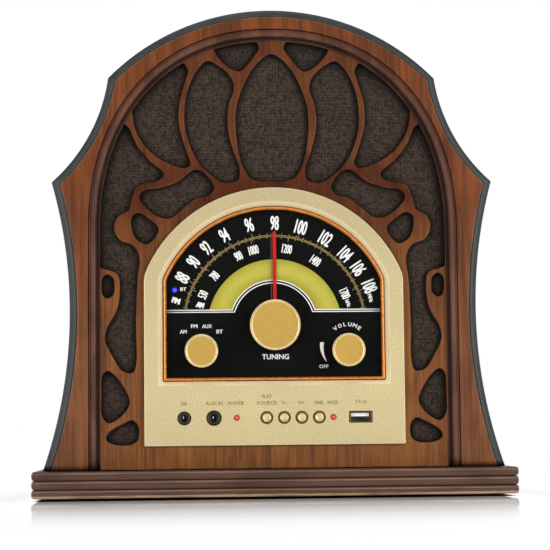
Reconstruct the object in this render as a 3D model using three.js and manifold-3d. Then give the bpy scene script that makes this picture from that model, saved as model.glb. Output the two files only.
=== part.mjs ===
// A table-top cathedral radio: an arched walnut cabinet on a reeded plinth, with a pierced wooden
// grille over two loudspeakers, a half-round tuning dial, three knobs and a row of small controls.
// Millimetres, +Z up, +X to the right seen from the front, and the front faces -Y.
// The origin is under the middle of the plinth, on the surface that the feet stand on.
import * as THREE from "three";
import { mergeVertices } from "three/addons/utils/BufferGeometryUtils.js";
import Module from "manifold-3d";

const wasm = await Module();
wasm.setup();

// ---------------------------------------------------------------- driving dimensions
const GAP = 0.3; // glue line or running gap between two neighbouring pieces
const FOOT_HEIGHT = 1.6; // how far the rubber feet lift the plinth
const PLINTH = { halfWidth: 150, halfDepth: 82, height: 16.5, reeds: 3, corner: 5, round: 2.3 };
const FACE_Y = -70; // front face of the cabinet's front board
const BACK_Y = 72; // rear edge of the cabinet shell
const BOARD = 18; // thickness of the front board
const EDGE = 4.6; // width and depth of the black rounded edge of the front board
const OUTLINE = {
  foot: [143.4, PLINTH.height + GAP],
  waist: [127, 112],
  horn: [138.2, 196],
  flank: [112.7, 230],
  shoulder: [103, 262],
  crown: [0, 305.5],
};
const ARCH = { halfWidth: 115.6, spring: 165, rise: 128.2, exponent: 2.2 }; // front board's opening
const BEAD = { width: 7.2, ledge: 1.6 }; // moulding that lines the opening, and its low inner ledge
const SHELL_OUT = 7; // the cabinet shell stands this far outside the opening
const SHELL_WALL = 6;
const AXIS_Z = 105.4; // height of the tuning shaft, which the dial's arcs share
const SIDE_KNOB = { x: 45.7, z: 89.7 };
const CONTROL_Z = 48.2; // height of the row of sockets and buttons
const BUTTON_X = [-5.3, 5.6, 16.5, 27.4];
const SPEAKER = { x: 45, z: 231, radius: 38 };

// Depths behind the cabinet's front face, front and back of each layer.
const LAYER = {
  bead: [-1, 4.7],
  fretwork: [5, 9],
  cloth: [9.3, 10.1],
  baffle: [10.4, 16.4],
  escutcheon: [1.7, 4.7],
  bezel: [2.7, 4.7],
  lens: [5, 6.2],
  pointer: [7.3, 7.9],
  dialPlate: [9.4, 10.4],
  chassis: [13, 14.2],
  backPanel: [BACK_Y - FACE_Y - 5, BACK_Y - FACE_Y - 1],
};

// ---------------------------------------------------------------- finishes
const finish = (color, roughness, metalness = 0) =>
  new THREE.MeshStandardMaterial({ color, roughness, metalness });
const walnut = finish(0x76452a, 0.45);
const mahogany = finish(0x573a2e, 0.4);
const speakerCloth = finish(0x3b302b, 0.95);
const plywood = finish(0xb08a5c, 0.8);
const champagne = finish(0xd3c191, 0.5, 0.2);
const copper = finish(0xb86c30, 0.3, 0.3);
const clearAcrylic = finish(0xf4f6f6, 0.05);
const gloss = finish(0x0f110d, 0.2);
const red = finish(0xd8141c, 0.4);
const gold = finish(0xd0ab58, 0.35, 0.6);
const steel = finish(0xa8abad, 0.4, 0.9);
const darkPlastic = finish(0x161719, 0.5);
const palePlastic = finish(0xd6d6d6, 0.4);
const circuitBoard = finish(0x2e6a3c, 0.6);
const redLamp = finish(0xff2a33, 0.2);
const blueLamp = finish(0x2233ff, 0.2);
const paper = finish(0x1f1d1c, 0.9);
const ferrite = finish(0x4b4442, 0.7);
const copperWire = finish(0xb4622e, 0.4, 0.7);
const rubber = finish(0x1a1a1a, 0.9);

// ---------------------------------------------------------------- solids
// A three.js geometry as a manifold solid, its faces turned outwards if they were not.
function solid(geometry) {
  const bare = geometry.index ? geometry.toNonIndexed() : geometry.clone();
  bare.deleteAttribute("normal");
  bare.deleteAttribute("uv");
  const merged = mergeVertices(bare, 1e-4);
  const triVerts = new Uint32Array(merged.index.array);
  const build = () =>
    new wasm.Manifold(
      new wasm.Mesh({ numProp: 3, vertProperties: merged.attributes.position.array, triVerts }),
    );
  const made = build();
  if (made.volume() > 0) return made;
  for (let i = 0; i < triVerts.length; i += 3) {
    [triVerts[i + 1], triVerts[i + 2]] = [triVerts[i + 2], triVerts[i + 1]];
  }
  return build();
}

function geometryOf(made) {
  const mesh = made.getMesh();
  const positions = new Float32Array(mesh.numVert * 3);
  for (let i = 0; i < mesh.numVert; i++) {
    const start = i * mesh.numProp;
    positions.set(mesh.vertProperties.subarray(start, start + 3), i * 3);
  }
  return new THREE.BufferGeometry()
    .setAttribute("position", new THREE.BufferAttribute(positions, 3))
    .setIndex(new THREE.BufferAttribute(new Uint32Array(mesh.triVerts), 1));
}

const joined = (...solids) => solids.reduce((a, b) => a.add(b));
const cutFrom = (body, ...tools) => tools.reduce((a, b) => a.subtract(b), body);

// A shape drawn as seen from the front, x and height, filling a range of depths behind the face.
function slab(shape, [front, back]) {
  const geometry = new THREE.ExtrudeGeometry(shape, { depth: back - front, bevelEnabled: false });
  return solid(geometry.rotateX(Math.PI / 2).translate(0, FACE_Y + back, 0));
}

// The same, but its front edge slopes: it is full size at the front and smaller by slope at the back.
function taperedCutter(shape, [front, back], slope) {
  const reach = 6; // how far the cutter stands out in front of the piece it cuts
  const geometry = new THREE.ExtrudeGeometry(shape, {
    depth: reach,
    bevelThickness: back - front,
    bevelSize: slope,
    bevelSegments: 1,
  });
  return solid(geometry.rotateX(Math.PI / 2).translate(0, FACE_Y + front, 0));
}

// A box given by its middle in x and z and its range of depths.
function block(x, z, width, height, [front, back]) {
  const geometry = new THREE.BoxGeometry(width, back - front, height);
  return solid(geometry.translate(x, FACE_Y + (front + back) / 2, z));
}

// A solid of revolution about a front-to-back axis; the profile is [radius, depth] pairs.
function turned(x, z, profile, segments = 24) {
  const points = [...profile, profile[0]].map(([r, d]) => new THREE.Vector2(r, FACE_Y + d));
  return solid(new THREE.LatheGeometry(points, segments).translate(x, 0, z));
}

const rod = (x, z, radius, [front, back], segments = 16) =>
  turned(x, z, [[0, front], [radius, front], [radius, back], [0, back]], segments);

const tube = (x, z, inner, outer, [front, back], segments = 24) =>
  turned(x, z, [[inner, front], [outer, front], [outer, back], [inner, back]], segments);

// ---------------------------------------------------------------- outlines
// Adds to a path, in short chords, the arc about a centre from one angle to another.
function chords(path, [x, z], radius, from, to, steps) {
  for (let i = 0; i <= steps; i++) {
    const angle = from + ((to - from) * i) / steps;
    path.lineTo(x + radius * Math.cos(angle), z + radius * Math.sin(angle));
  }
}

// The same for the arc that runs from one point through a second to a third.
function arcThrough(path, [ax, ay], [bx, by], [cx, cy], steps) {
  const d = 2 * (ax * (by - cy) + bx * (cy - ay) + cx * (ay - by));
  const [a2, b2, c2] = [ax * ax + ay * ay, bx * bx + by * by, cx * cx + cy * cy];
  const ux = (a2 * (by - cy) + b2 * (cy - ay) + c2 * (ay - by)) / d;
  const uy = (a2 * (cx - bx) + b2 * (ax - cx) + c2 * (bx - ax)) / d;
  const anticlockwise = (bx - ax) * (cy - ay) > (by - ay) * (cx - ax);
  const radius = Math.hypot(ax - ux, ay - uy);
  const from = Math.atan2(ay - uy, ax - ux);
  let sweep = Math.atan2(cy - uy, cx - ux) - from;
  if (anticlockwise && sweep < 0) sweep += 2 * Math.PI;
  if (!anticlockwise && sweep > 0) sweep -= 2 * Math.PI;
  chords(path, [ux, uy], radius, from, from + sweep, steps);
}

const mirrored = ([x, z]) => [-x, z];

// The cathedral outline: flared foot, waist, horn, hollow flank, shoulder and round crown.
function cathedralShape() {
  const { foot, waist, horn, flank, shoulder, crown } = OUTLINE;
  const shape = new THREE.Shape();
  shape.moveTo(...mirrored(foot));
  shape.lineTo(...foot);
  arcThrough(shape, foot, waist, horn, 8);
  arcThrough(shape, horn, flank, shoulder, 6);
  arcThrough(shape, shoulder, crown, mirrored(shoulder), 20);
  arcThrough(shape, mirrored(shoulder), mirrored(flank), mirrored(horn), 6);
  arcThrough(shape, mirrored(horn), mirrored(waist), mirrored(foot), 8);
  return shape;
}

// The arch of the opening, moved outwards by out, standing on the plinth: a slightly squared
// half-ellipse (a superellipse) on straight sides.
function archShape(out, steps = 36, bottom = PLINTH.height + GAP) {
  const halfWidth = ARCH.halfWidth + out;
  const rise = ARCH.rise + out;
  const bulge = (value) => Math.sign(value) * Math.abs(value) ** (2 / ARCH.exponent);
  const shape = new THREE.Shape();
  shape.moveTo(-halfWidth, bottom);
  shape.lineTo(halfWidth, bottom);
  for (let i = 0; i <= steps; i++) {
    const angle = (i / steps) * Math.PI;
    shape.lineTo(halfWidth * bulge(Math.cos(angle)), ARCH.spring + rise * bulge(Math.sin(angle)));
  }
  return shape;
}

// A round-topped window about the tuning shaft: a wide arc, a small round shoulder, straight sides.
function windowShape(halfWidth, bottom, radius, shoulder) {
  const cx = halfWidth - shoulder;
  const cz = AXIS_Z + Math.sqrt((radius - shoulder) ** 2 - cx ** 2);
  const turn = Math.atan2(cz - AXIS_Z, cx);
  const shape = new THREE.Shape();
  shape.moveTo(-halfWidth, bottom);
  shape.lineTo(halfWidth, bottom);
  chords(shape, [cx, cz], shoulder, 0, turn, 3);
  chords(shape, [0, AXIS_Z], radius, turn, Math.PI - turn, 20);
  chords(shape, [-cx, cz], shoulder, Math.PI - turn, Math.PI, 3);
  return shape;
}

function roundedRectangle(x, z, width, height, corner, steps = 3) {
  const shape = new THREE.Shape();
  const corners = [[1, 1], [-1, 1], [-1, -1], [1, -1]];
  corners.forEach(([sx, sz], quarter) => {
    const centre = [x + sx * (width / 2 - corner), z + sz * (height / 2 - corner)];
    const from = (quarter * Math.PI) / 2;
    if (quarter === 0) shape.moveTo(centre[0] + corner, centre[1]);
    chords(shape, centre, corner, from, from + Math.PI / 2, steps);
  });
  return shape;
}

// A smooth closed hole through the given points, on one side of the middle or the other.
function smoothHole(points, side = 1, stepsPerPoint = 2) {
  const placed = points.map(([x, z]) => new THREE.Vector3(side * x, z, 0));
  const curve = new THREE.CatmullRomCurve3(placed, true, "centripetal");
  const sampled = curve.getPoints(points.length * stepsPerPoint).slice(0, -1);
  return new THREE.Shape(sampled.map((p) => new THREE.Vector2(p.x, p.y)));
}

const LENS_WINDOW = windowShape(71, 69, 77, 8); // cut through every layer behind the escutcheon
const GLASS_WINDOW = windowShape(67.1, 73.7, 72.8, 6); // what shows of the dial
const CONTROL_SLOT = roundedRectangle(0, CONTROL_Z, 134, 17, 3); // behind the row of controls

// ---------------------------------------------------------------- the group
const radio = new THREE.Group();
const aboveFeet = new THREE.Group();
aboveFeet.position.z = FOOT_HEIGHT;
radio.add(aboveFeet);

function part(name, made, material, group = aboveFeet) {
  const mesh = new THREE.Mesh(geometryOf(made), material);
  mesh.name = name;
  group.add(mesh);
}

// ---------------------------------------------------------------- plinth and feet
function reededPlinth() {
  const { halfWidth, halfDepth, height, reeds, corner, round } = PLINTH;
  const reedHeight = height / reeds;
  const outline = roundedRectangle(0, 0, 2 * halfWidth, 2 * halfDepth, corner);
  const core = roundedRectangle(0, 0, 2 * (halfWidth - round), 2 * (halfDepth - round), corner);
  const reed = (bottom) =>
    solid(
      new THREE.ExtrudeGeometry(outline, {
        depth: reedHeight - 2 * round,
        bevelThickness: round,
        bevelSize: round,
        bevelOffset: -round,
        bevelSegments: 2,
      }).translate(0, 0, bottom + round),
    );
  const middle = new THREE.ExtrudeGeometry(core, { depth: height - 1, bevelEnabled: false });
  const stack = Array.from({ length: reeds }, (_, i) => reed(i * reedHeight));
  return joined(solid(middle.translate(0, 0, 0.5)), ...stack);
}
part("plinth", reededPlinth(), mahogany);

const FOOT = { x: 125, y: 62, radius: 9 };
for (const [name, x, y] of [
  ["front_left", -FOOT.x, -FOOT.y],
  ["front_right", FOOT.x, -FOOT.y],
  ["rear_left", -FOOT.x, FOOT.y],
  ["rear_right", FOOT.x, FOOT.y],
]) {
  const disc = new THREE.CylinderGeometry(FOOT.radius, FOOT.radius - 0.6, FOOT_HEIGHT, 20);
  const placed = disc.rotateX(Math.PI / 2).translate(x, y, FOOT_HEIGHT / 2);
  part("foot_" + name, solid(placed), rubber, radio);
}

// ---------------------------------------------------------------- cabinet woodwork
function frontFrame() {
  const rounded = solid(
    new THREE.ExtrudeGeometry(cathedralShape(), {
      depth: BOARD - 2 * EDGE,
      bevelThickness: EDGE,
      bevelSize: EDGE,
      bevelOffset: -EDGE,
      bevelSegments: 3,
    })
      .rotateX(Math.PI / 2)
      .translate(0, FACE_Y + BOARD - EDGE, 0),
  );
  const square = slab(cathedralShape(), [EDGE, BOARD]);
  const opening = slab(archShape(0, 36, 0), [-1, BOARD + 1]);
  const plinthSide = block(0, 0, 400, 2 * (PLINTH.height + GAP), [-5, BOARD + 5]);
  return cutFrom(joined(rounded, square), opening, plinthSide);
}
part("front_frame", frontFrame(), walnut);

function archRing(outer, inner, depths, steps) {
  return cutFrom(
    slab(archShape(outer, steps), depths),
    slab(archShape(inner, steps, 0), [depths[0] - 1, depths[1] + 1]),
  );
}

// The half-round moulding inside the opening: rings that step round its top, on a low ledge.
function beadMoulding() {
  const [front, back] = LAYER.bead;
  const crest = -BEAD.width + BEAD.ledge; // inner edge of the half-round
  const steps = [
    [-GAP, -BEAD.width, [front + 4, back]],
    [-GAP, crest, [front + 1.6, front + 4.1]],
    [-GAP - 0.7, crest + 0.7, [front + 0.5, front + 1.7]],
    [-GAP - 1.7, crest + 1.7, [front, front + 0.6]],
  ];
  return joined(...steps.map(([outer, inner, depths]) => archRing(outer, inner, depths, 36)));
}
part("bead_moulding", beadMoulding(), mahogany);

// The pierced grille. Each hole is drawn for the right-hand side and repeated on the left.
const CENTRE_PETAL = [
  [0, 278], [6, 275], [13, 267], [19, 255], [22.5, 243], [23, 231], [21.5, 217], [18.5, 206],
  [14, 199], [8, 197],
];
const SIDE_HOLES = {
  crown: [
    [8, 282], [10, 286.5], [22, 287.2], [32, 285.2], [36, 281], [31, 273], [24, 267.8], [20, 267.2],
    [12, 275.5],
  ],
  innerPetal: [
    [40.5, 273.5], [46, 269], [52, 258], [55, 244], [54.5, 229], [48, 211], [39, 201], [31, 196],
    [22, 197.5], [20.9, 205], [24.6, 216], [28, 231], [27.3, 245], [23.9, 256.5], [26.8, 264.5],
    [34.5, 271],
  ],
  outerPetal: [
    [56.5, 272.5], [66, 269], [79, 258.5], [87.5, 249], [87.8, 238], [85, 227], [76, 215], [66, 208.5],
    [56, 205.2], [51.9, 207.5], [54.6, 217], [58.7, 232], [58.6, 246], [54.6, 260.5], [53, 268],
  ],
  field: [
    [97, 234], [104, 224], [109, 207], [112.5, 187], [113.5, 165], [113.5, 145], [106, 141.8],
    [97.8, 138.5], [96, 130], [98, 116], [104, 105], [105.3, 97], [101, 87.5], [94.5, 78],
    [88.5, 77], [86.3, 82], [86.3, 106], [85.3, 134], [84, 149], [88, 156.3], [96, 159.8],
    [99.8, 167.5], [97, 175], [90.5, 179], [88.5, 187], [84.5, 194.2], [71.5, 197.5],
    [68.5, 201.5], [78, 210.5], [85.5, 220], [91, 231.5],
  ],
  crescent: [
    [49, 204], [60, 196.3], [71, 192.6], [81, 190.8], [83.8, 187], [79, 179.5], [70, 173.8],
    [63.5, 174], [56, 180], [48, 185.8], [40, 188.2], [37, 193], [43, 202],
  ],
  eye: [
    [84, 176.8], [88.2, 174.8], [88.8, 168], [85.5, 160.3], [79.5, 157.3], [74.5, 160.8],
    [72, 167], [78, 173.3],
  ],
  slot: [
    [103.8, 138.2], [106.6, 136.6], [107.7, 130.8], [106.6, 125], [103.8, 123.4], [100.4, 125.6],
    [99.6, 130.8], [100.4, 136],
  ],
  leaf: [
    [104, 78], [107, 75.5], [107.8, 63], [107.3, 50], [103.5, 45.8], [96, 49.5],
    [90.3, 58], [94, 68], [100.3, 76],
  ],
  wedge: [
    [88.5, 47.2], [94, 45.3], [103.5, 39.5], [104.8, 35.5], [100, 32.5], [89, 32.5], [85.2, 35.5],
    [85, 43.5],
  ],
};

const HIDDEN_MARGIN = 2; // how far the holes run on behind the bead
function fretworkPanel() {
  const [front, back] = LAYER.fretwork;
  const through = [front - 1, back + 1];
  const centre = [...CENTRE_PETAL, ...CENTRE_PETAL.slice(1).reverse().map(mirrored)];
  const sides = Object.values(SIDE_HOLES).flatMap((points) => [
    smoothHole(points, 1),
    smoothHole(points, -1),
  ]);
  const holes = joined(...[smoothHole(centre), ...sides].map((hole) => slab(hole, through)));
  const limit = slab(archShape(HIDDEN_MARGIN - BEAD.width), through);
  return cutFrom(
    slab(archShape(-GAP), LAYER.fretwork),
    holes.intersect(limit),
    slab(LENS_WINDOW, through),
    slab(CONTROL_SLOT, through),
  );
}
part("fretwork_panel", fretworkPanel(), walnut);

function lining(depths, openings) {
  const sheet = archShape(-GAP - 0.4);
  sheet.holes.push(LENS_WINDOW, CONTROL_SLOT, ...openings);
  return slab(sheet, depths);
}
const speakerHole = (x) => {
  const hole = new THREE.Shape();
  hole.moveTo(x + SPEAKER.radius - 5, SPEAKER.z);
  chords(hole, [x, SPEAKER.z], SPEAKER.radius - 5, 0, 2 * Math.PI, 32);
  return hole;
};
part("grille_cloth", lining(LAYER.cloth, []), speakerCloth);
part("speaker_baffle", lining(LAYER.baffle, [-SPEAKER.x, SPEAKER.x].map(speakerHole)), plywood);

const SHELL_DEPTHS = [BOARD + GAP, BACK_Y - FACE_Y];
part("cabinet_shell", archRing(SHELL_OUT, SHELL_OUT - SHELL_WALL, SHELL_DEPTHS, 36), walnut);

const CLEAT_INNER = SHELL_OUT - SHELL_WALL - GAP - 9;
const [PANEL_FRONT, PANEL_BACK] = LAYER.backPanel;
part(
  "rear_cleat",
  archRing(SHELL_OUT - SHELL_WALL - GAP, CLEAT_INNER, [PANEL_FRONT - 11, PANEL_FRONT - GAP], 36),
  plywood,
);

// ---------------------------------------------------------------- back panel and power inlet
const INLET = { x: 70, z: 46, width: 20, height: 10 };
const VENT = { x: 45, z: 231, count: 7, pitch: 10, slot: 3.6 };
const SCREWS = [[-104, 36], [104, 36], [-72, 255], [72, 255]];

function backPanel() {
  const panel = archShape(SHELL_OUT - SHELL_WALL - GAP);
  for (let row = 0; row < VENT.count; row++) {
    const offset = (row - (VENT.count - 1) / 2) * VENT.pitch;
    const length = 2 * Math.sqrt((SPEAKER.radius - 2) ** 2 - offset ** 2);
    for (const side of [-1, 1]) {
      panel.holes.push(
        roundedRectangle(side * VENT.x, VENT.z + offset, length, VENT.slot, VENT.slot / 3, 1),
      );
    }
  }
  panel.holes.push(roundedRectangle(INLET.x, INLET.z, INLET.width, INLET.height, 2));
  const made = slab(panel, LAYER.backPanel);
  const bores = SCREWS.map(([x, z]) => rod(x, z, 1.9, [PANEL_FRONT - 1, PANEL_BACK + 1], 10));
  return cutFrom(made, ...bores);
}
part("back_panel", backPanel(), plywood);

SCREWS.forEach(([x, z], i) => {
  const profile = [
    [0, PANEL_FRONT + 0.2], [1.5, PANEL_FRONT + 0.2], [1.5, PANEL_BACK + GAP],
    [3.4, PANEL_BACK + GAP], [2.6, PANEL_BACK + 2], [0, PANEL_BACK + 2.3],
  ];
  part("back_screw_" + (i + 1), turned(x, z, profile, 12), steel);
});

// A two-pin mains inlet: a flanged socket whose cavity faces the rear, with its pins inside.
function powerInlet() {
  const { x, z, width, height } = INLET;
  const [fit, wall] = [2 * GAP, 1.6];
  const bodyShape = roundedRectangle(x, z, width - fit, height - fit, 2);
  const body = slab(bodyShape, [PANEL_FRONT - 14, PANEL_BACK + GAP + 0.1]);
  const flange = block(x, z, width + 6, height + 6, [PANEL_BACK + GAP, PANEL_BACK + 1.8]);
  const cavityShape = roundedRectangle(x, z, width - fit - 2 * wall, height - fit - 2 * wall, 2.5);
  const cavity = slab(cavityShape, [PANEL_FRONT - 8, PANEL_BACK + 4]);
  const pins = [-4.3, 4.3].map((dx) => rod(x + dx, z, 1.2, [PANEL_FRONT - 9, PANEL_BACK - 1], 10));
  return joined(cutFrom(joined(body, flange), cavity), ...pins);
}
part("power_inlet", powerInlet(), darkPlastic);

// ---------------------------------------------------------------- escutcheon, dial and lens
const JACKS = [["headphone_jack", -56.5, 3.9], ["aux_jack", -38.1, 4.4]]; // x, collar radius
const LAMPS = [["power_lamp", -24, CONTROL_Z], ["mode_lamp", 36.2, CONTROL_Z]];
const USB = { x: 53.3, width: 13.8, height: 6.3, wall: 0.6 };
const BUTTON = { radius: 2.8, bore: 4, flange: 4.8, travel: 0.8 };

function escutcheon() {
  const [front, back] = LAYER.escutcheon;
  const through = [front - 1, back + 1];
  return cutFrom(
    slab(windowShape(81.2, 31.2, 87, 18), LAYER.escutcheon),
    taperedCutter(windowShape(69.3, 71.3, 75.3, 7), LAYER.escutcheon, 3),
    slab(windowShape(69.3, 71.3, 75.3, 7), through),
    ...JACKS.map(([, x, radius]) => rod(x, CONTROL_Z, radius + GAP, through, 16)),
    ...LAMPS.map(([, x]) => rod(x, CONTROL_Z, 1.8, through, 12)),
    ...BUTTON_X.map((x) => rod(x, CONTROL_Z, BUTTON.bore, through, 16)),
    block(USB.x, CONTROL_Z, USB.width + 0.8, USB.height + 0.8, through),
  );
}
part("escutcheon", escutcheon(), champagne);

function dialBezel() {
  const [front, back] = LAYER.bezel;
  return cutFrom(
    slab(windowShape(69, 71.6, 75, 6.8), LAYER.bezel),
    taperedCutter(GLASS_WINDOW, LAYER.bezel, 1.2),
    slab(GLASS_WINDOW, [front - 1, back + 1]),
  );
}
part("dial_bezel", dialBezel(), copper);

const SHAFTS = [[0, AXIS_Z], [-SIDE_KNOB.x, SIDE_KNOB.z], [SIDE_KNOB.x, SIDE_KNOB.z]];
const BLUE_LAMP = { x: -62, z: 128.6 };
function boredSheet(shape, [front, back], bore, extra = []) {
  const bores = SHAFTS.map(([x, z]) => rod(x, z, bore, [front - 1, back + 1], 16));
  return cutFrom(slab(shape, [front, back]), ...bores, ...extra);
}
part("dial_lens", boredSheet(windowShape(70.6, 69.6, 76.4, 7.8), LAYER.lens, 4.2), clearAcrylic);
const lampBore = rod(BLUE_LAMP.x, BLUE_LAMP.z, 1.7, [8, 12], 12);
const DIAL_SHAPE = windowShape(70.2, 70, 76, 7.6);
part("dial_plate", boredSheet(DIAL_SHAPE, LAYER.dialPlate, 4.6, [lampBore]), gloss);

// A steel plate that carries the dial and the shafts, with a stepped ear screwed to the baffle each side.
function dialChassis() {
  const [front, back] = LAYER.chassis;
  const baffleBack = LAYER.baffle[1] + GAP;
  const thick = back - front;
  const ear = (side) =>
    joined(
      block(side * 68, 101, thick, 44, [front, baffleBack + thick]),
      block(side * 76, 101, 17, 44, [baffleBack, baffleBack + thick]),
    );
  const posts = [[-60, 80], [60, 80], [-52, 150], [52, 150]].map(([x, z]) =>
    rod(x, z, 2.5, [LAYER.dialPlate[1] + GAP, front + 0.5], 10),
  );
  const bores = SHAFTS.map(([x, z]) => rod(x, z, 5, [front - 1, back + 1], 16));
  const lampWay = rod(BLUE_LAMP.x, BLUE_LAMP.z, 2.2, [front - 1, back + 1], 10);
  const sheet = slab(windowShape(68.6, 73, 74.6, 6), LAYER.chassis);
  return cutFrom(joined(sheet, ear(-1), ear(1), ...posts), ...bores, lampWay);
}
part("dial_chassis", dialChassis(), steel);

// ---------------------------------------------------------------- knobs, shafts and what they turn
const SHAFT_RADIUS = 3;
const KNOB_BACK = LAYER.lens[0] - 0.9;

// A turned knob: flat face, sloped rim, a side that tapers to the back, and a blind bore for its shaft.
function knob(x, z, radius, front) {
  const rim = 1.2;
  const taper = 0.9;
  const boreEnd = front + 4;
  return turned(
    x,
    z,
    [
      [0, front + 0.25], [radius - rim - 0.5, front + 0.25], [radius - rim - 0.25, front],
      [radius - rim, front], [radius, front + 0.8], [radius, front + 1.4],
      [radius - taper, KNOB_BACK - 0.6], [radius - taper - 0.5, KNOB_BACK],
      [SHAFT_RADIUS + GAP, KNOB_BACK], [SHAFT_RADIUS + GAP, boreEnd], [0, boreEnd],
    ],
    24,
  );
}
const shaft = (x, z, front, back) => rod(x, z, SHAFT_RADIUS, [front, back], 16);

const TUNING_KNOB = { radius: 15.7, front: -8.5 };
const SMALL_KNOB = { radius: 10.3, front: -7 };
const BODY_FRONT = LAYER.chassis[1] + GAP; // front of what is bolted behind the chassis

part("tuning_knob", knob(0, AXIS_Z, TUNING_KNOB.radius, TUNING_KNOB.front), gold);
part("tuning_shaft", shaft(0, AXIS_Z, TUNING_KNOB.front + 4.3, BODY_FRONT + 8), steel);

function pointer() {
  const [front, back] = LAYER.pointer;
  const hub = tube(0, AXIS_Z, SHAFT_RADIUS + GAP, 6.5, [front, back], 24);
  const needle = new THREE.Shape();
  needle.moveTo(-1.3, AXIS_Z + 5);
  needle.lineTo(1.3, AXIS_Z + 5);
  needle.lineTo(1.1, AXIS_Z + 59.5);
  needle.lineTo(-1.1, AXIS_Z + 59.5);
  return joined(hub, slab(needle, LAYER.pointer));
}
part("pointer", pointer(), red);

function borePocket(x, z) {
  return rod(x, z, SHAFT_RADIUS + 0.2, [BODY_FRONT - 2, BODY_FRONT + 9], 16);
}
part(
  "tuning_capacitor",
  cutFrom(block(0, AXIS_Z, 24, 24, [BODY_FRONT, BODY_FRONT + 15]), borePocket(0, AXIS_Z)),
  clearAcrylic,
);

part("selector_knob", knob(-SIDE_KNOB.x, SIDE_KNOB.z, SMALL_KNOB.radius, SMALL_KNOB.front), gold);
part("selector_shaft", shaft(-SIDE_KNOB.x, SIDE_KNOB.z, SMALL_KNOB.front + 4.3, BODY_FRONT + 8), steel);
part(
  "selector_switch",
  cutFrom(
    rod(-SIDE_KNOB.x, SIDE_KNOB.z, 12.5, [BODY_FRONT, BODY_FRONT + 13], 24),
    borePocket(-SIDE_KNOB.x, SIDE_KNOB.z),
  ),
  darkPlastic,
);

part("volume_knob", knob(SIDE_KNOB.x, SIDE_KNOB.z, SMALL_KNOB.radius, SMALL_KNOB.front), gold);
part("volume_shaft", shaft(SIDE_KNOB.x, SIDE_KNOB.z, SMALL_KNOB.front + 4.3, BODY_FRONT + 8), steel);
part(
  "volume_potentiometer",
  cutFrom(
    joined(
      rod(SIDE_KNOB.x, SIDE_KNOB.z, 8.5, [BODY_FRONT, BODY_FRONT + 17], 24),
      block(SIDE_KNOB.x, SIDE_KNOB.z - 9, 14, 8, [BODY_FRONT + 3, BODY_FRONT + 5]),
    ),
    borePocket(SIDE_KNOB.x, SIDE_KNOB.z),
  ),
  steel,
);

// ---------------------------------------------------------------- the row of controls
const ESCUTCHEON_BACK = LAYER.escutcheon[1];
const SWITCH_FRONT = 13;
const STEM_END = SWITCH_FRONT - BUTTON.travel - GAP;
const BOARD_FRONT = 7.5; // front edge of the control board
BUTTON_X.forEach((x, i) => {
  const cap = [
    [0, 0.7], [BUTTON.radius - 0.6, 0.7], [BUTTON.radius, 1.3],
    [BUTTON.radius, ESCUTCHEON_BACK + GAP], [BUTTON.flange, ESCUTCHEON_BACK + GAP],
    [BUTTON.flange, ESCUTCHEON_BACK + 1.4], [1.6, ESCUTCHEON_BACK + 1.4], [1.6, STEM_END],
    [0, STEM_END],
  ];
  part("push_button_" + (i + 1), turned(x, CONTROL_Z, cap, 12), gold);
  const housing = block(x, CONTROL_Z, 6.2, 6.2, [SWITCH_FRONT + 0.4, SWITCH_FRONT + 4]);
  const actuator = rod(x, CONTROL_Z, 1.7, [SWITCH_FRONT, SWITCH_FRONT + 1], 12);
  part("tact_switch_" + (i + 1), joined(housing, actuator), darkPlastic);
});

for (const [name, x, radius] of JACKS) {
  const collar = rod(x, CONTROL_Z, radius, [0.9, BOARD_FRONT - GAP], 16);
  const body = block(x, CONTROL_Z, 10, 7, [7, 20]);
  const way = rod(x, CONTROL_Z, 1.8, [0, 17], 16);
  part(name, cutFrom(joined(collar, body), way), darkPlastic);
}

for (const [name, x, z] of LAMPS) {
  const dome = [[0, 0.6], [0.9, 0.85], [1.4, 1.6], [1.5, 5], [1.9, 5.3], [1.9, 6.3], [0, 6.3]];
  part(name, turned(x, z, dome, 12), redLamp);
}
const blueDome = [[0, 8.6], [0.9, 8.8], [1.5, 9.5], [1.5, 13], [1.9, 13], [1.9, 14], [0, 14]];
part("wireless_lamp", turned(BLUE_LAMP.x, BLUE_LAMP.z, blueDome, 12), blueLamp);

part(
  "usb_socket",
  cutFrom(
    block(USB.x, CONTROL_Z, USB.width, USB.height, [1.4, 16]),
    block(USB.x, CONTROL_Z, USB.width - 2 * USB.wall, USB.height - 2 * USB.wall, [0, 14.6]),
  ),
  steel,
);
part("usb_tongue", block(USB.x, CONTROL_Z + 1.2, 11, 1.8, [5.7, 14.3]), palePlastic);

const FLOOR_Z = PLINTH.height + GAP; // what stands inside stands on the plinth

// A circuit board lying level on pillars; its size in x and depth, and the height of its underside.
function boardOnPillars([left, right], [front, back], underside, pillars) {
  const thickness = 1.6;
  const sheet = block((left + right) / 2, underside + thickness / 2, right - left, thickness, [front, back]);
  const height = underside + thickness / 2 - FLOOR_Z;
  const posts = pillars.map(([x, depth]) => {
    const pillar = new THREE.CylinderGeometry(2.6, 2.6, height, 12).rotateX(Math.PI / 2);
    return solid(pillar.translate(x, FACE_Y + depth, FLOOR_Z + height / 2));
  });
  return joined(sheet, ...posts);
}
const CONTROL_BOARD_Z = CONTROL_Z - 5.6;
part(
  "control_board",
  boardOnPillars([-65, 65], [BOARD_FRONT, 45], CONTROL_BOARD_Z, [[-55, 38], [55, 38]]),
  circuitBoard,
);

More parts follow.
